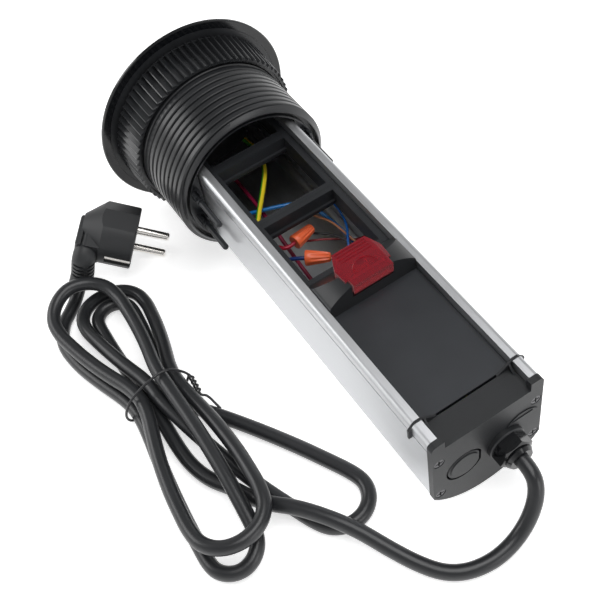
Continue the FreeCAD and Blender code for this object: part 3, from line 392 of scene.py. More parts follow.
def smooth_curve(name, route, diameter):
    """A round cord as one smooth open curve along its route, in metres."""
    data = bpy.data.curves.new(name, "CURVE")
    data.dimensions = "3D"
    data.resolution_u = 6
    data.bevel_depth = diameter / 2
    data.bevel_resolution = 5
    data.use_fill_caps = True
    spline = data.splines.new("NURBS")
    spline.points.add(len(route) - 1)
    for point, place in zip(spline.points, route):
        point.co = (*place, 1.0)
    spline.order_u = 3
    spline.use_endpoint_u = True
    piece = bpy.data.objects.new(name, data)
    bpy.context.scene.collection.objects.link(piece)
    return piece


def winding(start, end, radius, turns, phase=0.0):
    """A winding round the line between two places: its ends, and a corner in each quarter turn."""
    steps = 4 * turns
    turn = Vector((0.0, 0.0, 1.0)).rotation_difference(end - start)

    def place(quarters, reach):
        angle = quarters * pi / 2 + phase
        offset = Vector((reach * cos(angle), reach * sin(angle), 0.0))
        return start.lerp(end, quarters / steps) + turn @ offset

    corners = [place(k + 0.5, radius / cos(pi / 4)) for k in range(steps)]
    return [place(0, radius)] + corners + [place(steps, radius)]


# Colours that have no setting of their own, and the depths of grain and of drawn lines in metres
COVER_COLOUR = (0.024, 0.0262, 0.0303)
FRAME_COLOUR = (0.021, 0.0225, 0.0252)
SCREW_COLOUR = (0.10, 0.10, 0.105)
NICKEL_COLOUR = (0.70, 0.68, 0.65)
CONNECTOR_COLOUR = (0.88, 0.155, 0.055)
EARTH_COLOUR = (0.86, 0.66, 0.02, 1.0)
EARTH_STRIPE = (0.07, 0.34, 0.02, 1.0)
TIE_COLOUR = (0.018, 0.018, 0.02)
COARSE_GRAIN = 0.00003
MEDIUM_GRAIN = 0.00002
FINE_GRAIN = 0.00001
LINE_DEPTH = 0.000008


class COLUMN_OT_shell(bpy.types.Operator):
    """Finish the moulded black pieces that keep their own shapes"""
    bl_idname = "power_column.shell"
    bl_label = "Shell finishes"

    def execute(self, context):
        colours = context.scene.column_colours
        shell = moulded(
            "Moulded shell", colours.shell, roughness=0.46, grain=2600.0, depth=COARSE_GRAIN, sheen=0.32)
        dress(shell, "top_cap", "end_cap", "exit_insert", "gland_body", "gland_back_nut", "nut_washer")
        cover = moulded(
            "Moulded cover", COVER_COLOUR, roughness=0.44, grain=2600.0, depth=COARSE_GRAIN, sheen=0.35)
        dress(cover, "blank_cover")
        frames = moulded(
            "Moulded frames", FRAME_COLOUR, roughness=0.38, grain=2200.0, depth=COARSE_GRAIN, sheen=0.32)
        dress(frames, "module_frame_1", "module_frame_2", "module_frame_3", "guide_pins")
        bridge = moulded(
            "Bridge", colours.shell, roughness=0.34, grain=1500.0, depth=MEDIUM_GRAIN, sheen=0.35)
        dress(bridge, "latch_bridge")
        gloss = moulded("Polished flange", colours.gloss, roughness=0.13, grain=300.0, depth=0.0, polish=0.06)
        dress(gloss, "flange_ring", "gland_nut")
        return {"FINISHED"}


class COLUMN_OT_metal(bpy.types.Operator):
    """Finish the aluminium channel, the screws and the plug's metal"""
    bl_idname = "power_column.metal"
    bl_label = "Metal finishes"

    def execute(self, context):
        colours = context.scene.column_colours
        channel = drawn("Satin aluminium", colours.channel, roughness=0.40)
        dress(channel, "column_profile")
        dark = drawn("Blackened screws", SCREW_COLOUR, roughness=0.35, density=1500.0)
        dress(dark, "end_cap_screws")
        bright = drawn("Nickel", NICKEL_COLOUR, roughness=0.22, density=1500.0, strength=0.08)
        dress(bright, "plug_pins", "plug_earth_contacts")
        return {"FINISHED"}


# The blank in the unused outlet, in millimetres: the outlet's middle, radius and flat side, and the
# blank's outline from its back to its face, as (set in from the outlet, place along the column)
BLANK_MIDDLE = (-13.4, -7.0)
BLANK_RADIUS = 10.2
BLANK_FLAT = 9.5
BLANK_OUTLINE = [
    (-1.2, 271.8), (-1.2, 274.2), (0.9, 274.2), (0.9, 277.5), (1.2, 277.8), (2.1, 277.8), (2.4, 278.4)]
BLANK_STEPS = 72


def blank_ring(mesh, inset, height):
    """The outlet's outline, round with one flat, set in by an amount."""
    ring = []
    for k in range(BLANK_STEPS):
        angle = 2 * pi * k / BLANK_STEPS
        x = BLANK_MIDDLE[0] + min((BLANK_RADIUS - inset) * cos(angle), BLANK_FLAT - inset)
        y = BLANK_MIDDLE[1] + (BLANK_RADIUS - inset) * sin(angle)
        ring.append(mesh.verts.new((x * MM, y * MM, height * MM)))
    return ring


class COLUMN_OT_blank(bpy.types.Operator):
    """Build the blank in the unused outlet, with the gap that shows round it"""
    bl_idname = "power_column.blank"
    bl_label = "Outlet blank"

    def execute(self, context):
        mesh = bmesh.new()
        rings = [blank_ring(mesh, inset, height) for inset, height in BLANK_OUTLINE]
        bridge_rings(mesh, rings)
        mesh.faces.new(rings[0])
        mesh.faces.new(rings[-1])
        blank = finished_object("outlet_blank", mesh, column_matrix())
        shell = context.scene.column_colours.shell
        blank.data.materials.append(
            moulded("Blank", shell, roughness=0.46, grain=2600.0, depth=COARSE_GRAIN, sheen=0.32))
        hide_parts("blanking_plug")
        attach(blank, "column")
        return {"FINISHED"}


# What makes the latch clear
LATCH_CLEARNESS = {
    "Transmission Weight": 0.78, "IOR": 1.49, "Sheen Weight": 0.42, "Sheen Roughness": 0.4}


class COLUMN_OT_latch(bpy.types.Operator):
    """Finish the tinted clear latch"""
    bl_idname = "power_column.latch"
    bl_label = "Latch"

    def execute(self, context):
        colours = context.scene.column_colours
        tint = moulded(
            "Tinted latch", colours.latch, roughness=0.13, grain=90.0, depth=0.0, tone=0.10, polish=0.06)
        shader = tint.node_tree.nodes["Principled BSDF"]
        for key, value in LATCH_CLEARNESS.items():
            shader.inputs[key].default_value = value
        dress(tint, "latch_button")
        return {"FINISHED"}


# The latch's spring: its fixed and its moving end out of the column's face, its place along the
# column, and its radius and wire, in millimetres, and its turns
SPRING_ENDS = (20.45, 34.08)
SPRING_ALONG = 180.0
SPRING_RADIUS = 3.7
SPRING_WIRE = 0.6
SPRING_TURNS = 4


class COLUMN_OT_spring(bpy.types.Operator):
    """Wind the spring under the latch"""
    bl_idname = "power_column.spring"
    bl_label = "Latch's spring"

    def execute(self, context):
        ends = [in_column(0.0, reach, SPRING_ALONG) for reach in SPRING_ENDS]
        route = winding(*ends, SPRING_RADIUS * MM, SPRING_TURNS)
        wound = smooth_curve("latch_spring_route", route, SPRING_WIRE * MM)
        spring = bpy.data.objects.new("latch_spring_wound", bpy.data.meshes.new_from_object(wound))
        context.scene.collection.objects.link(spring)
        bpy.data.objects.remove(wound)
        spring.data.materials.append(bpy.data.materials["Nickel"])
        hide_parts("latch_spring")
        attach(spring, "column")
        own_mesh(spring)
        return {"FINISHED"}


# The wires in the channel: the three diameters, and each wire's finish, colour, roughness, diameter,
# slot and places across the column, out of its face and along it, in millimetres
EARTH_WIRE = 2.9
LEAD_CORE = 2.2
LINK = 1.3
WIRES = {
    "neutral_wire": ("Blue sheath", (0.004, 0.15, 0.44), 0.32, LEAD_CORE, "blue_wire", (
        (7.6, -10.2, 258.3), (7.6, -10.2, 250.0), (10.0, -14.0, 226.0), (16.0, -17.0, 202.0),
        (21.0, -16.0, 176.0), (23.0, -14.5, 150.0), (22.5, -11.0, 124.0), (15.4, -5.6, 99.5),
        (4.3, -5.2, 94.5), (-6.9, -5.2, 90.0), (-16.0, -8.0, 84.0))),
    "live_wire": ("Dark red sheath", (0.20, 0.006, 0.035), 0.34, LEAD_CORE, "red_wire", (
        (11.4, -10.2, 258.3), (11.4, -10.2, 250.0), (9.0, -17.0, 228.0), (1.0, -21.0, 204.0),
        (-6.0, -21.0, 178.0), (-8.5, -18.0, 150.0), (-8.0, -14.0, 121.0), (-6.8, -9.8, 94.0),
        (-5.8, -9.6, 72.0), (-5.2, -12.0, 50.0))),
    "splice_wire_red": ("Crimson sheath", (0.36, 0.006, 0.028), 0.30, LEAD_CORE, "red_wire", (
        (-28.8, -12.0, 100.6), (-25.2, -12.0, 100.6), (-20.5, -8.0, 106.5), (-17.5, -3.2, 114.5),
        (-15.6, -0.6, 121.0), (-12.4, 0.0, 125.7), (-7.2, 0.0, 124.5))),
    "splice_wire_blue": ("Dark blue sheath", (0.006, 0.028, 0.15), 0.32, LEAD_CORE, "blue_wire", (
        (-28.8, -14.0, 121.6), (-25.2, -14.0, 121.6), (-20.0, -8.5, 125.5), (-16.8, -2.0, 129.8),
        (-12.4, 0.0, 133.8), (-8.3, 0.0, 136.7))),
    "link_wire_1": ("Thin blue", (0.008, 0.11, 0.42), 0.32, LINK, "blue_wire", (
        (28.8, -4.0, 103.0), (26.0, -4.0, 103.0), (25.0, -1.0, 112.0), (23.6, 1.0, 122.5),
        (21.2, 1.0, 133.0), (14.0, 0.0, 143.5), (9.5, -4.0, 154.0))),
    "link_wire_2": ("Thin copper brown", (0.42, 0.17, 0.075), 0.34, LINK, "copper_wire", (
        (9.0, -3.0, 106.0), (12.4, -1.5, 115.5), (16.9, -1.5, 123.0), (18.4, -2.0, 134.0),
        (21.0, -5.0, 143.0), (25.0, -7.0, 149.0), (28.8, -7.0, 149.0))),
    "link_wire_3": ("Thin black", (0.010, 0.010, 0.012), 0.30, LINK, "black_wire", (
        (3.0, -5.2, 117.0), (6.4, -4.8, 122.5), (13.0, -4.6, 128.0), (17.8, -5.4, 137.0),
        (20.5, -9.5, 147.5), (24.6, -11.5, 156.5), (28.8, -11.5, 156.5))),
    "link_wire_4": ("Thin dark red", (0.22, 0.008, 0.014), 0.32, LINK, "red_wire", (
        (-3.5, -8.6, 118.0), (1.6, -7.8, 122.0), (10.8, -7.6, 127.6), (18.0, -8.6, 132.5),
        (24.4, -9.4, 137.4), (28.8, -9.4, 137.4)))}
EARTH_ROUTE = (
    (9.5, -7.2, 258.3), (9.5, -7.2, 250.0), (3.0, -10.0, 228.0), (-14.0, -15.0, 208.0),
    (-25.0, -13.0, 186.0), (-26.2, -7.0, 160.0), (-26.2, -4.5, 132.0), (-24.0, -3.5, 112.0),
    (-14.9, -2.0, 98.0), (-2.6, -2.0, 83.0), (9.0, -2.0, 68.0), (14.0, -2.5, 52.0), (12.5, -4.0, 38.0))


def lay_wire(node, points, diameter, material):
    """One wire in the channel, in place of its node."""
    wire = smooth_curve(node + "_sheath", [in_column(*point) for point in points], diameter * MM)
    wire.data.materials.append(material)
    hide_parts(node)
    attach(wire, "column")


class COLUMN_OT_wires(bpy.types.Operator):
    """Lay the wires in the channel"""
    bl_idname = "power_column.wires"
    bl_label = "Wires"

    def execute(self, context):
        for node, (name, colour, roughness, diameter, slot, points) in WIRES.items():
            sheath = moulded(name, colour, roughness, grain=900.0, depth=FINE_GRAIN)
            lay_wire(node, points, diameter, sheath)
        values = {"Colour": EARTH_COLOUR, "Stripe": EARTH_STRIPE, "Roughness": 0.36}
        earth = surface("Earth sheath", "striped", striped_group, values, "Grain", FINE_GRAIN, {})
        lay_wire("earth_wire", EARTH_ROUTE, EARTH_WIRE, earth)
        return {"FINISHED"}


# The connectors: their wide and narrow ends in the column, and their outline as radius, place along
# the axis and depth of the flutes, in millimetres
CONNECTORS = {
    "wire_nut_1": ((-7.2, 0.0, 124.5), (5.7, 0.0, 121.4)),
    "wire_nut_2": ((-8.3, 0.0, 136.7), (2.9, 0.0, 144.6))}
CONNECTOR_RINGS = (
    (3.9, 0.0, 0.0), (4.3, 0.6, 0.0), (4.05, 3.0, 0.0), (4.0, 3.6, 0.45), (3.0, 10.9, 0.5), (2.7, 12.6, 0.4),
    (2.2, 13.3, 0.2), (1.5, 13.6, 0.0))
FLUTES = 10
FLUTE_POINTS = 6
FLUTE_ROUNDNESS = 0.7


def connector(name, base, tip):
    """A fluted wire connector: a cap with grooves along it between rounded ribs."""
    mesh = bmesh.new()
    steps = FLUTES * FLUTE_POINTS
    rings = []
    for radius, height, depth in CONNECTOR_RINGS:
        ring = []
        for k in range(steps):
            angle = 2 * pi * k / steps
            groove = max(0.0, cos(FLUTES * angle)) ** FLUTE_ROUNDNESS
            reach = (radius - depth * groove) * MM
            ring.append(mesh.verts.new((reach * cos(angle), reach * sin(angle), height * MM)))
        rings.append(ring)
    bridge_rings(mesh, rings)
    mesh.faces.new(rings[0])
    mesh.faces.new(rings[-1])
    axis = Vector(tip) - Vector(base)
    turn = Vector((0.0, 0.0, 1.0)).rotation_difference(axis).to_matrix().to_4x4()
    place = column_matrix() @ Matrix.Translation(Vector(base) * MM) @ turn
    return finished_object(name, mesh, place, sharp=40.0)


class COLUMN_OT_connectors(bpy.types.Operator):
    """Build the two fluted connectors on the ends of the splices"""
    bl_idname = "power_column.connectors"
    bl_label = "Wire connectors"

    def execute(self, context):
        orange = moulded("Orange connector", CONNECTOR_COLOUR, roughness=0.34, grain=1600.0, depth=FINE_GRAIN)
        for node, (base, tip) in CONNECTORS.items():
            cap = connector(node + "_fluted", base, tip)
            cap.data.materials.append(orange)
            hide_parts(node)
            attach(cap, "column")
        return {"FINISHED"}


# The clamping nut, in millimetres along the column and from its axis. It is a little narrower over
# its teeth at the far end. A tooth is given as shares of the step to the next one and of its height
NUT_LOW = 4.6
NUT_HEIGHT = 23.0
NUT_BORE = 46.88
NUT_HUB = 48.43
NUT_ROOT = 49.0
NUT_TIP = 52.03
NUT_TIP_FAR = 50.9
NUT_RECESS = 2.0
NUT_BEVEL = 0.5
NUT_BEVEL_FAR = 0.45
NUT_TEETH = 76
NUT_TOOTH = ((0.0, 1.0), (0.13, 0.97), (0.30, 0.0))


def tooth_ring(mesh, tip, height):
    """The nut's toothed outline at one height."""
    points = []
    for tooth in range(NUT_TEETH):
        for share, rise in NUT_TOOTH:
            angle = 2 * pi * (tooth + share) / NUT_TEETH
            radius = (NUT_ROOT + (tip - NUT_ROOT) * rise) * MM
            points.append(mesh.verts.new((radius * cos(angle), radius * sin(angle), height * MM)))
    return points


def ring_like(mesh, points, radius, height):
    """A round ring with its points at the angles of another ring's points."""
    made = []
    for point in points:
        scale = radius * MM / hypot(point.co.x, point.co.y)
        made.append(mesh.verts.new((point.co.x * scale, point.co.y * scale, height * MM)))
    return made


class COLUMN_OT_nut(bpy.types.Operator):
    """Build the clamping nut with its saw teeth open at the free end"""
    bl_idname = "power_column.nut"
    bl_label = "Clamping nut"

    def execute(self, context):
        mesh = bmesh.new()
        far = NUT_LOW + NUT_HEIGHT
        teeth = [tooth_ring(mesh, tip, height) for tip, height in (
            (NUT_TIP - NUT_BEVEL, NUT_LOW), (NUT_TIP, NUT_LOW + NUT_BEVEL),
            (NUT_TIP_FAR, far - NUT_BEVEL_FAR), (NUT_TIP_FAR - NUT_BEVEL_FAR, far))]
        inside = [ring_like(mesh, teeth[0], radius, height) for radius, height in (
            (NUT_HUB, far), (NUT_HUB, far - NUT_RECESS), (NUT_BORE, far - NUT_RECESS),
            (NUT_BORE, NUT_LOW))]
        bridge_rings(mesh, teeth + inside + teeth[:1])
        nut = finished_object("nut_with_teeth", mesh, column_matrix(), sharp=28.0)
        shell = context.scene.column_colours.shell
        nut.data.materials.append(moulded("Nut", shell, roughness=0.27, grain=2000.0, depth=MEDIUM_GRAIN))
        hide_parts("clamping_nut")
        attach(nut, "nut")
        return {"FINISHED"}


# The collar: one turn of its thread, as shares of its pitch and of its depth, the length in which
# the thread runs out, the share of a turn at which it starts, and its turns to spare
THREAD_PROFILE = ((0.0, 0.0), (0.17, 0.0), (0.24, 0.88), (0.29, 1.0), (0.84, 1.0), (0.89, 0.88))
THREAD_FADE = 1.0 * MM
THREAD_PHASE = 0.3
THREAD_SPARE = 3

# The collar's head under the flange, its mouth with a thin lip round the bore, its shelves, and the
# steps round it
HEAD_LOW = 1.8 * MM
HEAD_HIGH = 3.0 * MM
HEAD_RADIUS = 55.0 * MM
MOUTH_INSET = 3.4 * MM
MOUTH_DEPTH = 4.0 * MM
MOUTH_BEVEL = 1.0 * MM
LIP_THICKNESS = 0.9 * MM
LIP_SETBACK = 0.6 * MM
SHELF_SETBACK = 1.8 * MM
SHELF_SPACING = 40.0 * MM
SHELF_THICKNESS = 2.4 * MM
SHELF_FLAT = 31.2 * MM
SHELF_ROOT = 1.0 * MM
SHELF_STEPS = 18
COLLAR_STEPS = 180
WELD = 0.001 * MM


def shelf(mesh, half_flat, radius, z0, z1, side):
    """A shelf in the bore: the part of a disc beyond a flat, on one side."""
    reach = acos(half_flat / radius)
    outline = []
    for k in range(SHELF_STEPS + 1):
        angle = -reach + 2 * reach * k / SHELF_STEPS
        outline.append((side * radius * cos(angle), radius * sin(angle)))
    lower = [mesh.verts.new((x, y, z0)) for x, y in outline]
    upper = [mesh.verts.new((x, y, z1)) for x, y in outline]
    mesh.faces.new(lower)
    mesh.faces.new(list(reversed(upper)))
    for k in range(len(outline)):
        nxt = (k + 1) % len(outline)
        mesh.faces.new((lower[k], upper[k], upper[nxt], lower[nxt]))


def thread_band(mesh, sizes, low, high, steps):
    """The thread as one winding band between two heights, running out into its root at both ends."""
    size = len(THREAD_PROFILE)
    # Turns enough to pass both ends, where the points are held at the end's height
    rows = (int((high - low) / sizes.pitch) + THREAD_SPARE) * size

    def corner(row, step):
        turn, index = divmod(row, size)
        share, ridge = THREAD_PROFILE[index]
        height = low + sizes.pitch * (turn + share + step / steps + THREAD_PHASE - 1.0)
        height = min(max(height, low), high)
        fade = min(1.0, (height - low) / THREAD_FADE, (high - height) / THREAD_FADE)
        radius = sizes.crest_radius - sizes.depth + sizes.depth * ridge * fade
        angle = 2 * pi * step / steps
        return radius * cos(angle), radius * sin(angle), height

    points = [[mesh.verts.new(corner(row, step)) for step in range(steps)] for row in range(rows + size)]
    for row in range(rows - 1):
        for step in range(steps):
            ahead = row if step < steps - 1 else row + size
            nxt = (step + 1) % steps
            mesh.faces.new((points[row][step], points[ahead][nxt], points[ahead + 1][nxt],
                            points[row + 1][step]))
    loose = [point for point in mesh.verts if not point.link_faces]
    bmesh.ops.delete(mesh, geom=loose, context="VERTS")


class COLUMN_OT_collar(bpy.types.Operator):
    """Build the collar with its thread, head and guide shelves"""
    bl_idname = "power_column.collar"
    bl_label = "Threaded collar"

    def execute(self, context):
        sizes = context.scene.thread_sizes
        mesh = bmesh.new()
        end = sizes.length
        bore = sizes.bore_radius
        root = sizes.crest_radius - sizes.depth
        mouth = sizes.crest_radius - MOUTH_INSET
        lip = bore + LIP_THICKNESS
        outline = [
            (root, end - MOUTH_BEVEL), (root - MOUTH_BEVEL, end), (mouth, end), (mouth, end - MOUTH_DEPTH),
            (lip, end - MOUTH_DEPTH), (lip, end - LIP_SETBACK), (bore, end - LIP_SETBACK),
            (bore, HEAD_LOW), (HEAD_RADIUS, HEAD_LOW), (HEAD_RADIUS, HEAD_HIGH), (root, HEAD_HIGH)]
        bridge_rings(mesh, [ring_of(mesh, radius, height, COLLAR_STEPS) for radius, height in outline])
        thread_band(mesh, sizes, HEAD_HIGH, end - MOUTH_BEVEL, COLLAR_STEPS)
        bmesh.ops.remove_doubles(mesh, verts=mesh.verts[:], dist=WELD)
        for top in (end - SHELF_SETBACK, end - SHELF_SETBACK - SHELF_SPACING):
            for side in (-1, 1):
                shelf(mesh, SHELF_FLAT, bore + SHELF_ROOT, top - SHELF_THICKNESS, top, side)
        piece = finished_object("collar_with_thread", mesh, column_matrix())
        shell = context.scene.column_colours.shell
        piece.data.materials.append(
            moulded("Collar", shell, roughness=0.30, grain=2000.0, depth=MEDIUM_GRAIN, sheen=0.45))
        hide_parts("threaded_collar")
        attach(piece, "collar")
        return {"FINISHED"}


class COLUMN_OT_plug(bpy.types.Operator):
    """Finish the plug's rubber body"""
    bl_idname = "power_column.plug"
    bl_label = "Plug"

    def execute(self, context):
        shell = context.scene.column_colours.shell
        dress(moulded("Plug rubber", shell, roughness=0.50, grain=2400.0, depth=COARSE_GRAIN), "plug_body")
        return {"FINISHED"}


# The wire tie, in millimetres: its loop round the hank, the line that both its ends are twisted
# along, and its free end
TIE_DIAMETER = 1.4
TIE_LOOP = [
    (-8.5, -90.2, 17.0), (-9.5, -97.0, 25.2), (-9.5, -106.5, 25.4), (-9.5, -120.5, 19.8),
    (-9.5, -126.8, 12.5), (-9.5, -128.3, 5.4), (-9.5, -124.2, 0.8), (-9.5, -97.5, 0.8),
    (-9.5, -92.4, 4.6), (-9.5, -89.0, 10.5), (-8.0, -88.6, 14.0)]
TIE_TWIST = (Vector((-5.0, -88.6, 15.4)), Vector((4.6, -89.4, 12.2)))
TIE_TAIL = [
    (5.8, -89.2, 10.6), (7.0, -87.2, 10.2), (9.2, -86.2, 9.4), (12.6, -85.5, 8.0), (16.5, -84.5, 6.0)]
TWIST_TURNS = 2
TWIST_RADIUS = 1.0


class COLUMN_OT_tie(bpy.types.Operator):
    """Bend the wire tie round the hank and twist its ends together"""
    bl_idname = "power_column.tie"
    bl_label = "Wire tie"

    def execute(self, context):
        strands = [winding(*TIE_TWIST, TWIST_RADIUS, TWIST_TURNS, phase) for phase in (pi, 0.0)]
        route = strands[0][::-1] + TIE_LOOP + strands[1] + TIE_TAIL
        tie = smooth_curve("wire_tie", [Vector(point) * MM for point in route], TIE_DIAMETER * MM)
        tie.data.materials.append(moulded("Tie coat", TIE_COLOUR, roughness=0.34, grain=900.0, depth=0.0))
        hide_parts("twist_tie")
        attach(tie, "column")
        return {"FINISHED"}


# The lead, in millimetres: down from the gland, along the floor, through the hank to the plug
GLAND_X = 9.5
GLAND_Y = -9.0
GLAND_END = 290.6
GLAND_RUN = 8.0
LEAD_FALL = [
    (160.5, 6.5, 21.5), (164.0, 0.6, 14.5), (166.0, -6.5, 8.5), (167.5, -15.5, 4.8), (168.0, -26.0, 3.9),
    (165.5, -37.5, 3.9), (159.5, -46.5, 4.1), (149.5, -53.5, 5.3), (137.0, -60.0, 7.8), (122.0, -66.7, 10.8),
    (109.0, -74.5, 12.9), (94.5, -84.2, 12.9), (83.5, -93.5, 10.6), (73.0, -98.8, 7.4), (61.0, -103.1, 5.1),
    (50.5, -109.4, 4.1), (38.5, -113.0, 3.9), (25.5, -114.2, 4.5)]
LEAD_TAIL = [
    (-44.5, -130.0, 4.5), (-63.5, -134.5, 3.9), (-81.5, -135.5, 3.9), (-95.0, -129.5, 3.9),
    (-102.0, -121.0, 3.9), (-107.4, -114.9, 4.6), (-111.0, -109.6, 8.8)]

# The hank: the tie's place, each pass through it as (y, z), and the loops between the passes as
# (x, y, fold radius, bow, heights along the loop)
TIE_X = -9.5
TIE_HALF = 8.0
TIE_PASSES = [(-113.0, 5.5), (-100.2, 5.5), (-108.8, 13.3), (-95.4, 13.4), (-117.3, 13.5), (-102.1, 19.9),
              (-121.6, 5.5)]
HANK_LOOPS = [
    (-79.5, -102.0, 10.7, 0.9, (4.4, 3.9, 3.9, 3.9, 3.9, 4.1, 4.8)),
    (97.8, -64.3, 15.9, 2.8, (4.5, 3.9, 3.9, 3.9, 3.9, 5.0, 9.2)),
    (-80.5, -101.5, 19.2, 1.6, (13.2, 11.7, 8.5, 4.4, 4.3, 7.4, 10.8)),
    (77.8, -113.3, 19.6, 3.0, (14.5, 16.4, 18.8, 17.7, 13.4, 12.8, 13.1)),
    (-83.5, -115.0, 20.0, 1.8, (12.6, 12.4, 13.8, 20.0, 15.0, 15.2, 17.4)),
    (90.0, -119.5, 13.2, 1.7, (18.6, 16.0, 10.5, 5.2, 3.9, 4.0, 4.5))]
SIDE_STEPS = (0.34, 0.65, 0.87)
FOLD_STEPS = 6


def level(heights, share):
    """The height at a share of the way along equal steps."""
    index = min(int(share * (len(heights) - 1)), len(heights) - 2)
    part = share * (len(heights) - 1) - index
    return heights[index] + (heights[index + 1] - heights[index]) * part


def hank_side(start, end, bow, heights, steps):
    """Points along one side of a loop, bowed outward a little."""
    run = hypot(end[0] - start[0], end[1] - start[1])
    points = []
    for share in steps:
        out = bow * sin(pi * share) / run
        x = start[0] + (end[0] - start[0]) * share - (end[1] - start[1]) * out
        y = start[1] + (end[1] - start[1]) * share + (end[0] - start[0]) * out
        points.append((x, y, level(heights, share)))
    return points


def hank_loop(start, end, loop):
    """One loop of the hank: out along a side, round the fold clockwise and back to the tie."""
    x, y, radius, bow, heights = loop
    first = atan2(start[1] - y, start[0] - x) - acos(radius / hypot(start[0] - x, start[1] - y))
    last = atan2(end[1] - y, end[0] - x) + acos(radius / hypot(end[0] - x, end[1] - y))
    while last > first:
        last -= 2 * pi
    fold = []
    for k in range(FOLD_STEPS + 1):
        angle = first + (last - first) * k / FOLD_STEPS
        height = level(heights[2:5], k / FOLD_STEPS)
        fold.append((x + radius * cos(angle), y + radius * sin(angle), height))
    out = hank_side(start, fold[0], bow, (start[2],) + heights[:3], SIDE_STEPS)
    back_steps = [1 - share for share in reversed(SIDE_STEPS)]
    back = hank_side(fold[-1], end, bow, heights[4:] + (end[2],), back_steps)
    return out + fold + back


def hank_route():
    """The passes through the tie, with a loop to one side or the other between them."""
    points = []
    side = -1
    for index, (y, z) in enumerate(TIE_PASSES):
        leave = (TIE_X + side * TIE_HALF, y, z)
        points += [(TIE_X - side * TIE_HALF, y, z), leave]
        if index < len(HANK_LOOPS):
            next_y, next_z = TIE_PASSES[index + 1]
            points += hank_loop(leave, (leave[0], next_y, next_z), HANK_LOOPS[index])
        side = -side
    return points


class COLUMN_OT_lead(bpy.types.Operator):
    """Lay the lead with its hank, from the gland to the plug"""
    bl_idname = "power_column.lead"
    bl_label = "Lead"

    def execute(self, context):
        sizes = context.scene.lead_sizes
        colours = context.scene.column_colours
        start = [in_column(GLAND_X, GLAND_Y, place) for place in (GLAND_END, GLAND_END + GLAND_RUN)]
        rest = [Vector(point) * MM for point in LEAD_FALL + hank_route() + LEAD_TAIL]
        lead = smooth_curve("lead", start + rest, sizes.diameter)
        lead.data.materials.append(
            moulded("Lead sheath", colours.lead, roughness=0.33, grain=420.0, depth=COARSE_GRAIN, tone=0.10))
        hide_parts("cord_lead", "cord_hank", "cord_tail")
        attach(lead, "column")
        dress(lead.data.materials[0], "sheath_end")
        return {"FINISHED"}


# The stage: the camera's place, its turn in degrees, and its lens and sensor in millimetres
CAMERA_PLACE = (0.35274, -0.15329, 0.46613)
CAMERA_TURN = (39.843, 9.682, 57.845)
CAMERA_LENS = 65.112
CAMERA_SENSOR = 36.0
CAMERA_NEAR = 0.02

# The floor: its half width, its place under the lowest piece, the share of white that it gives off,
# its roughness and its specular level
FLOOR_REACH = 6.0
FLOOR_HEIGHT = -0.0004
FLOOR_GLOW = 0.58
FLOOR_ROUGHNESS = 0.9
FLOOR_SHEEN = 0.1

# The world's heights, as shares of the way up, and its strength at each, at the horizon and above
WORLD_LOW = (0.05, 1.0)
WORLD_HIGH = (0.75, 0.22)

# The lamps: place, aim, width and depth, and power in watts
LAMPS = {
    "overhead": ((0.25, 0.1, 1.3), (0.0, 0.0, 0.0), (1.1, 0.8), 10.0),
    "left": ((-0.9, -0.9, 0.8), (0.0, -0.05, 0.03), (0.9, 0.6), 5.5),
    "right": ((1.2, 0.4, 0.5), (0.0, 0.0, 0.05), (0.6, 0.6), 2.6)}


def white_to_camera(material, strength):
    """Let a stage material show white to the camera, in gloss and through clear parts."""
    tree = material.node_tree
    shader = tree.nodes["Principled BSDF"]
    path = tree.nodes.new("ShaderNodeLightPath")
    seen_or_mirrored = maths(tree, "MAXIMUM")
    seen_at_all = maths(tree, "MAXIMUM")
    glow = maths(tree, "MULTIPLY", [(1, strength)])
    join(tree, [
        (path.outputs["Is Camera Ray"], seen_or_mirrored.inputs[0]),
        (path.outputs["Is Glossy Ray"], seen_or_mirrored.inputs[1]),
        (seen_or_mirrored.outputs[0], seen_at_all.inputs[0]),
        (path.outputs["Is Transmission Ray"], seen_at_all.inputs[1]),
        (seen_at_all.outputs[0], glow.inputs[0]),
        (glow.outputs[0], shader.inputs["Emission Strength"])])
    shader.inputs["Emission Color"].default_value = WHITE


def lay_floor(colour):
    """The studio's floor, just under the lowest piece."""
    mesh = bmesh.new()
    bmesh.ops.create_grid(mesh, x_segments=8, y_segments=8, size=FLOOR_REACH)
    floor = finished_object("floor", mesh, Matrix.Translation((0.0, 0.0, FLOOR_HEIGHT)))
    material = bpy.data.materials.new("Floor")
    material.use_nodes = True
    shader = material.node_tree.nodes["Principled BSDF"]
    shader.inputs["Base Color"].default_value = (*colour, 1.0)
    shader.inputs["Roughness"].default_value = FLOOR_ROUGHNESS
    shader.inputs["Specular IOR Level"].default_value = FLOOR_SHEEN
    white_to_camera(material, FLOOR_GLOW)
    floor.data.materials.append(material)


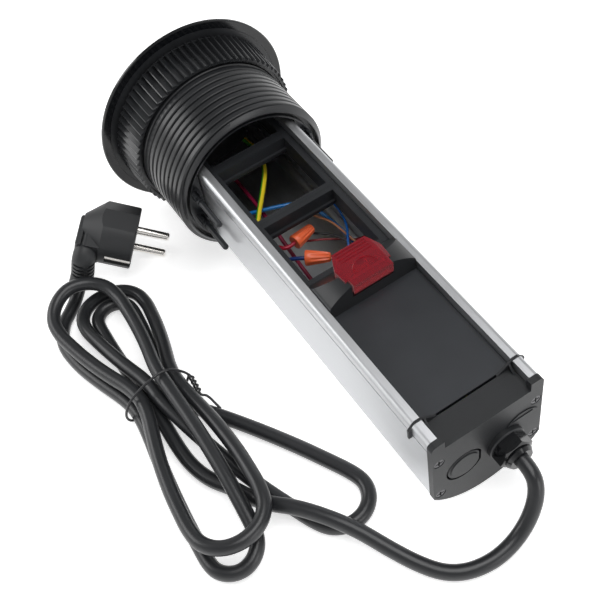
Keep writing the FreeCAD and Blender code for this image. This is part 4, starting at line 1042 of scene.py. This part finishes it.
def light_world(scene):
    """White to the camera, and otherwise a studio that darkens from the horizon to the ceiling."""
    world = bpy.data.worlds.new("Studio")
    scene.world = world
    world.use_nodes = True
    tree = world.node_tree
    background = tree.nodes["Background"]
    background.inputs["Color"].default_value = WHITE
    path = tree.nodes.new("ShaderNodeLightPath")
    place = tree.nodes.new("ShaderNodeTexCoord")
    height = tree.nodes.new("ShaderNodeSeparateXYZ")
    ceiling = tree.nodes.new("ShaderNodeMapRange")
    for end, (level_at, strength_at) in (("Min", WORLD_LOW), ("Max", WORLD_HIGH)):
        ceiling.inputs["From " + end].default_value = level_at
        ceiling.inputs["To " + end].default_value = strength_at
    strength = maths(tree, "MAXIMUM")
    join(tree, [
        (place.outputs["Generated"], height.inputs["Vector"]),
        (height.outputs["Z"], ceiling.inputs["Value"]),
        (path.outputs["Is Camera Ray"], strength.inputs[0]),
        (ceiling.outputs["Result"], strength.inputs[1]),
        (strength.outputs[0], background.inputs["Strength"])])


def set_camera(scene):
    """The camera at the photograph's viewing angle."""
    data = bpy.data.cameras.new("camera")
    data.lens = CAMERA_LENS
    data.sensor_width = CAMERA_SENSOR
    data.clip_start = CAMERA_NEAR
    camera = bpy.data.objects.new("camera", data)
    camera.location = CAMERA_PLACE
    camera.rotation_euler = [radians(turn) for turn in CAMERA_TURN]
    scene.collection.objects.link(camera)
    scene.camera = camera


def lamp(name, place, aim, size, power):
    """A soft lamp that faces a place."""
    data = bpy.data.lights.new(name, "AREA")
    data.shape = "RECTANGLE"
    data.size, data.size_y = size
    data.energy = power
    made = bpy.data.objects.new(name, data)
    made.location = place
    made.rotation_euler = (Vector(aim) - Vector(place)).to_track_quat("-Z", "Y").to_euler()
    bpy.context.scene.collection.objects.link(made)


class COLUMN_OT_stage(bpy.types.Operator):
    """Set the floor, the lamps, the world and the camera"""
    bl_idname = "power_column.stage"
    bl_label = "Stage"

    def execute(self, context):
        scene = context.scene
        lay_floor(scene.column_colours.floor)
        light_world(scene)
        for name, values in LAMPS.items():
            lamp(name, *values)
        set_camera(scene)
        scene.view_settings.view_transform = "Standard"
        return {"FINISHED"}


class COLUMN_PT_panel(bpy.types.Panel):
    """Steps of the power column"""
    bl_label = "Power column"
    bl_idname = "COLUMN_PT_panel"
    bl_space_type = "VIEW_3D"
    bl_region_type = "UI"
    bl_category = "Power column"

    def draw(self, context):
        layout = self.layout
        for name in STEPS:
            layout.operator("power_column." + name)


STEPS = ("shell", "metal", "blank", "latch", "spring", "wires", "connectors", "collar", "nut", "plug", "tie",
         "lead", "stage")
CLASSES = (ColumnColours, ThreadSizes, LeadSizes, COLUMN_OT_shell, COLUMN_OT_metal, COLUMN_OT_blank,
           COLUMN_OT_latch, COLUMN_OT_spring, COLUMN_OT_wires, COLUMN_OT_connectors, COLUMN_OT_collar,
           COLUMN_OT_nut, COLUMN_OT_plug, COLUMN_OT_tie, COLUMN_OT_lead, COLUMN_OT_stage, COLUMN_PT_panel)


def register():
    """Add the classes and the settings."""
    for kind in CLASSES:
        bpy.utils.register_class(kind)
    bpy.types.Scene.column_colours = bpy.props.PointerProperty(type=ColumnColours)
    bpy.types.Scene.thread_sizes = bpy.props.PointerProperty(type=ThreadSizes)
    bpy.types.Scene.lead_sizes = bpy.props.PointerProperty(type=LeadSizes)


def unregister():
    """Take the settings and the classes away."""
    del bpy.types.Scene.lead_sizes
    del bpy.types.Scene.thread_sizes
    del bpy.types.Scene.column_colours
    for kind in reversed(CLASSES):
        bpy.utils.unregister_class(kind)


def main():
    """Build the scene step by step."""
    register()
    for name in STEPS:
        getattr(bpy.ops.power_column, name)()


if __name__ == "__main__":
    main()
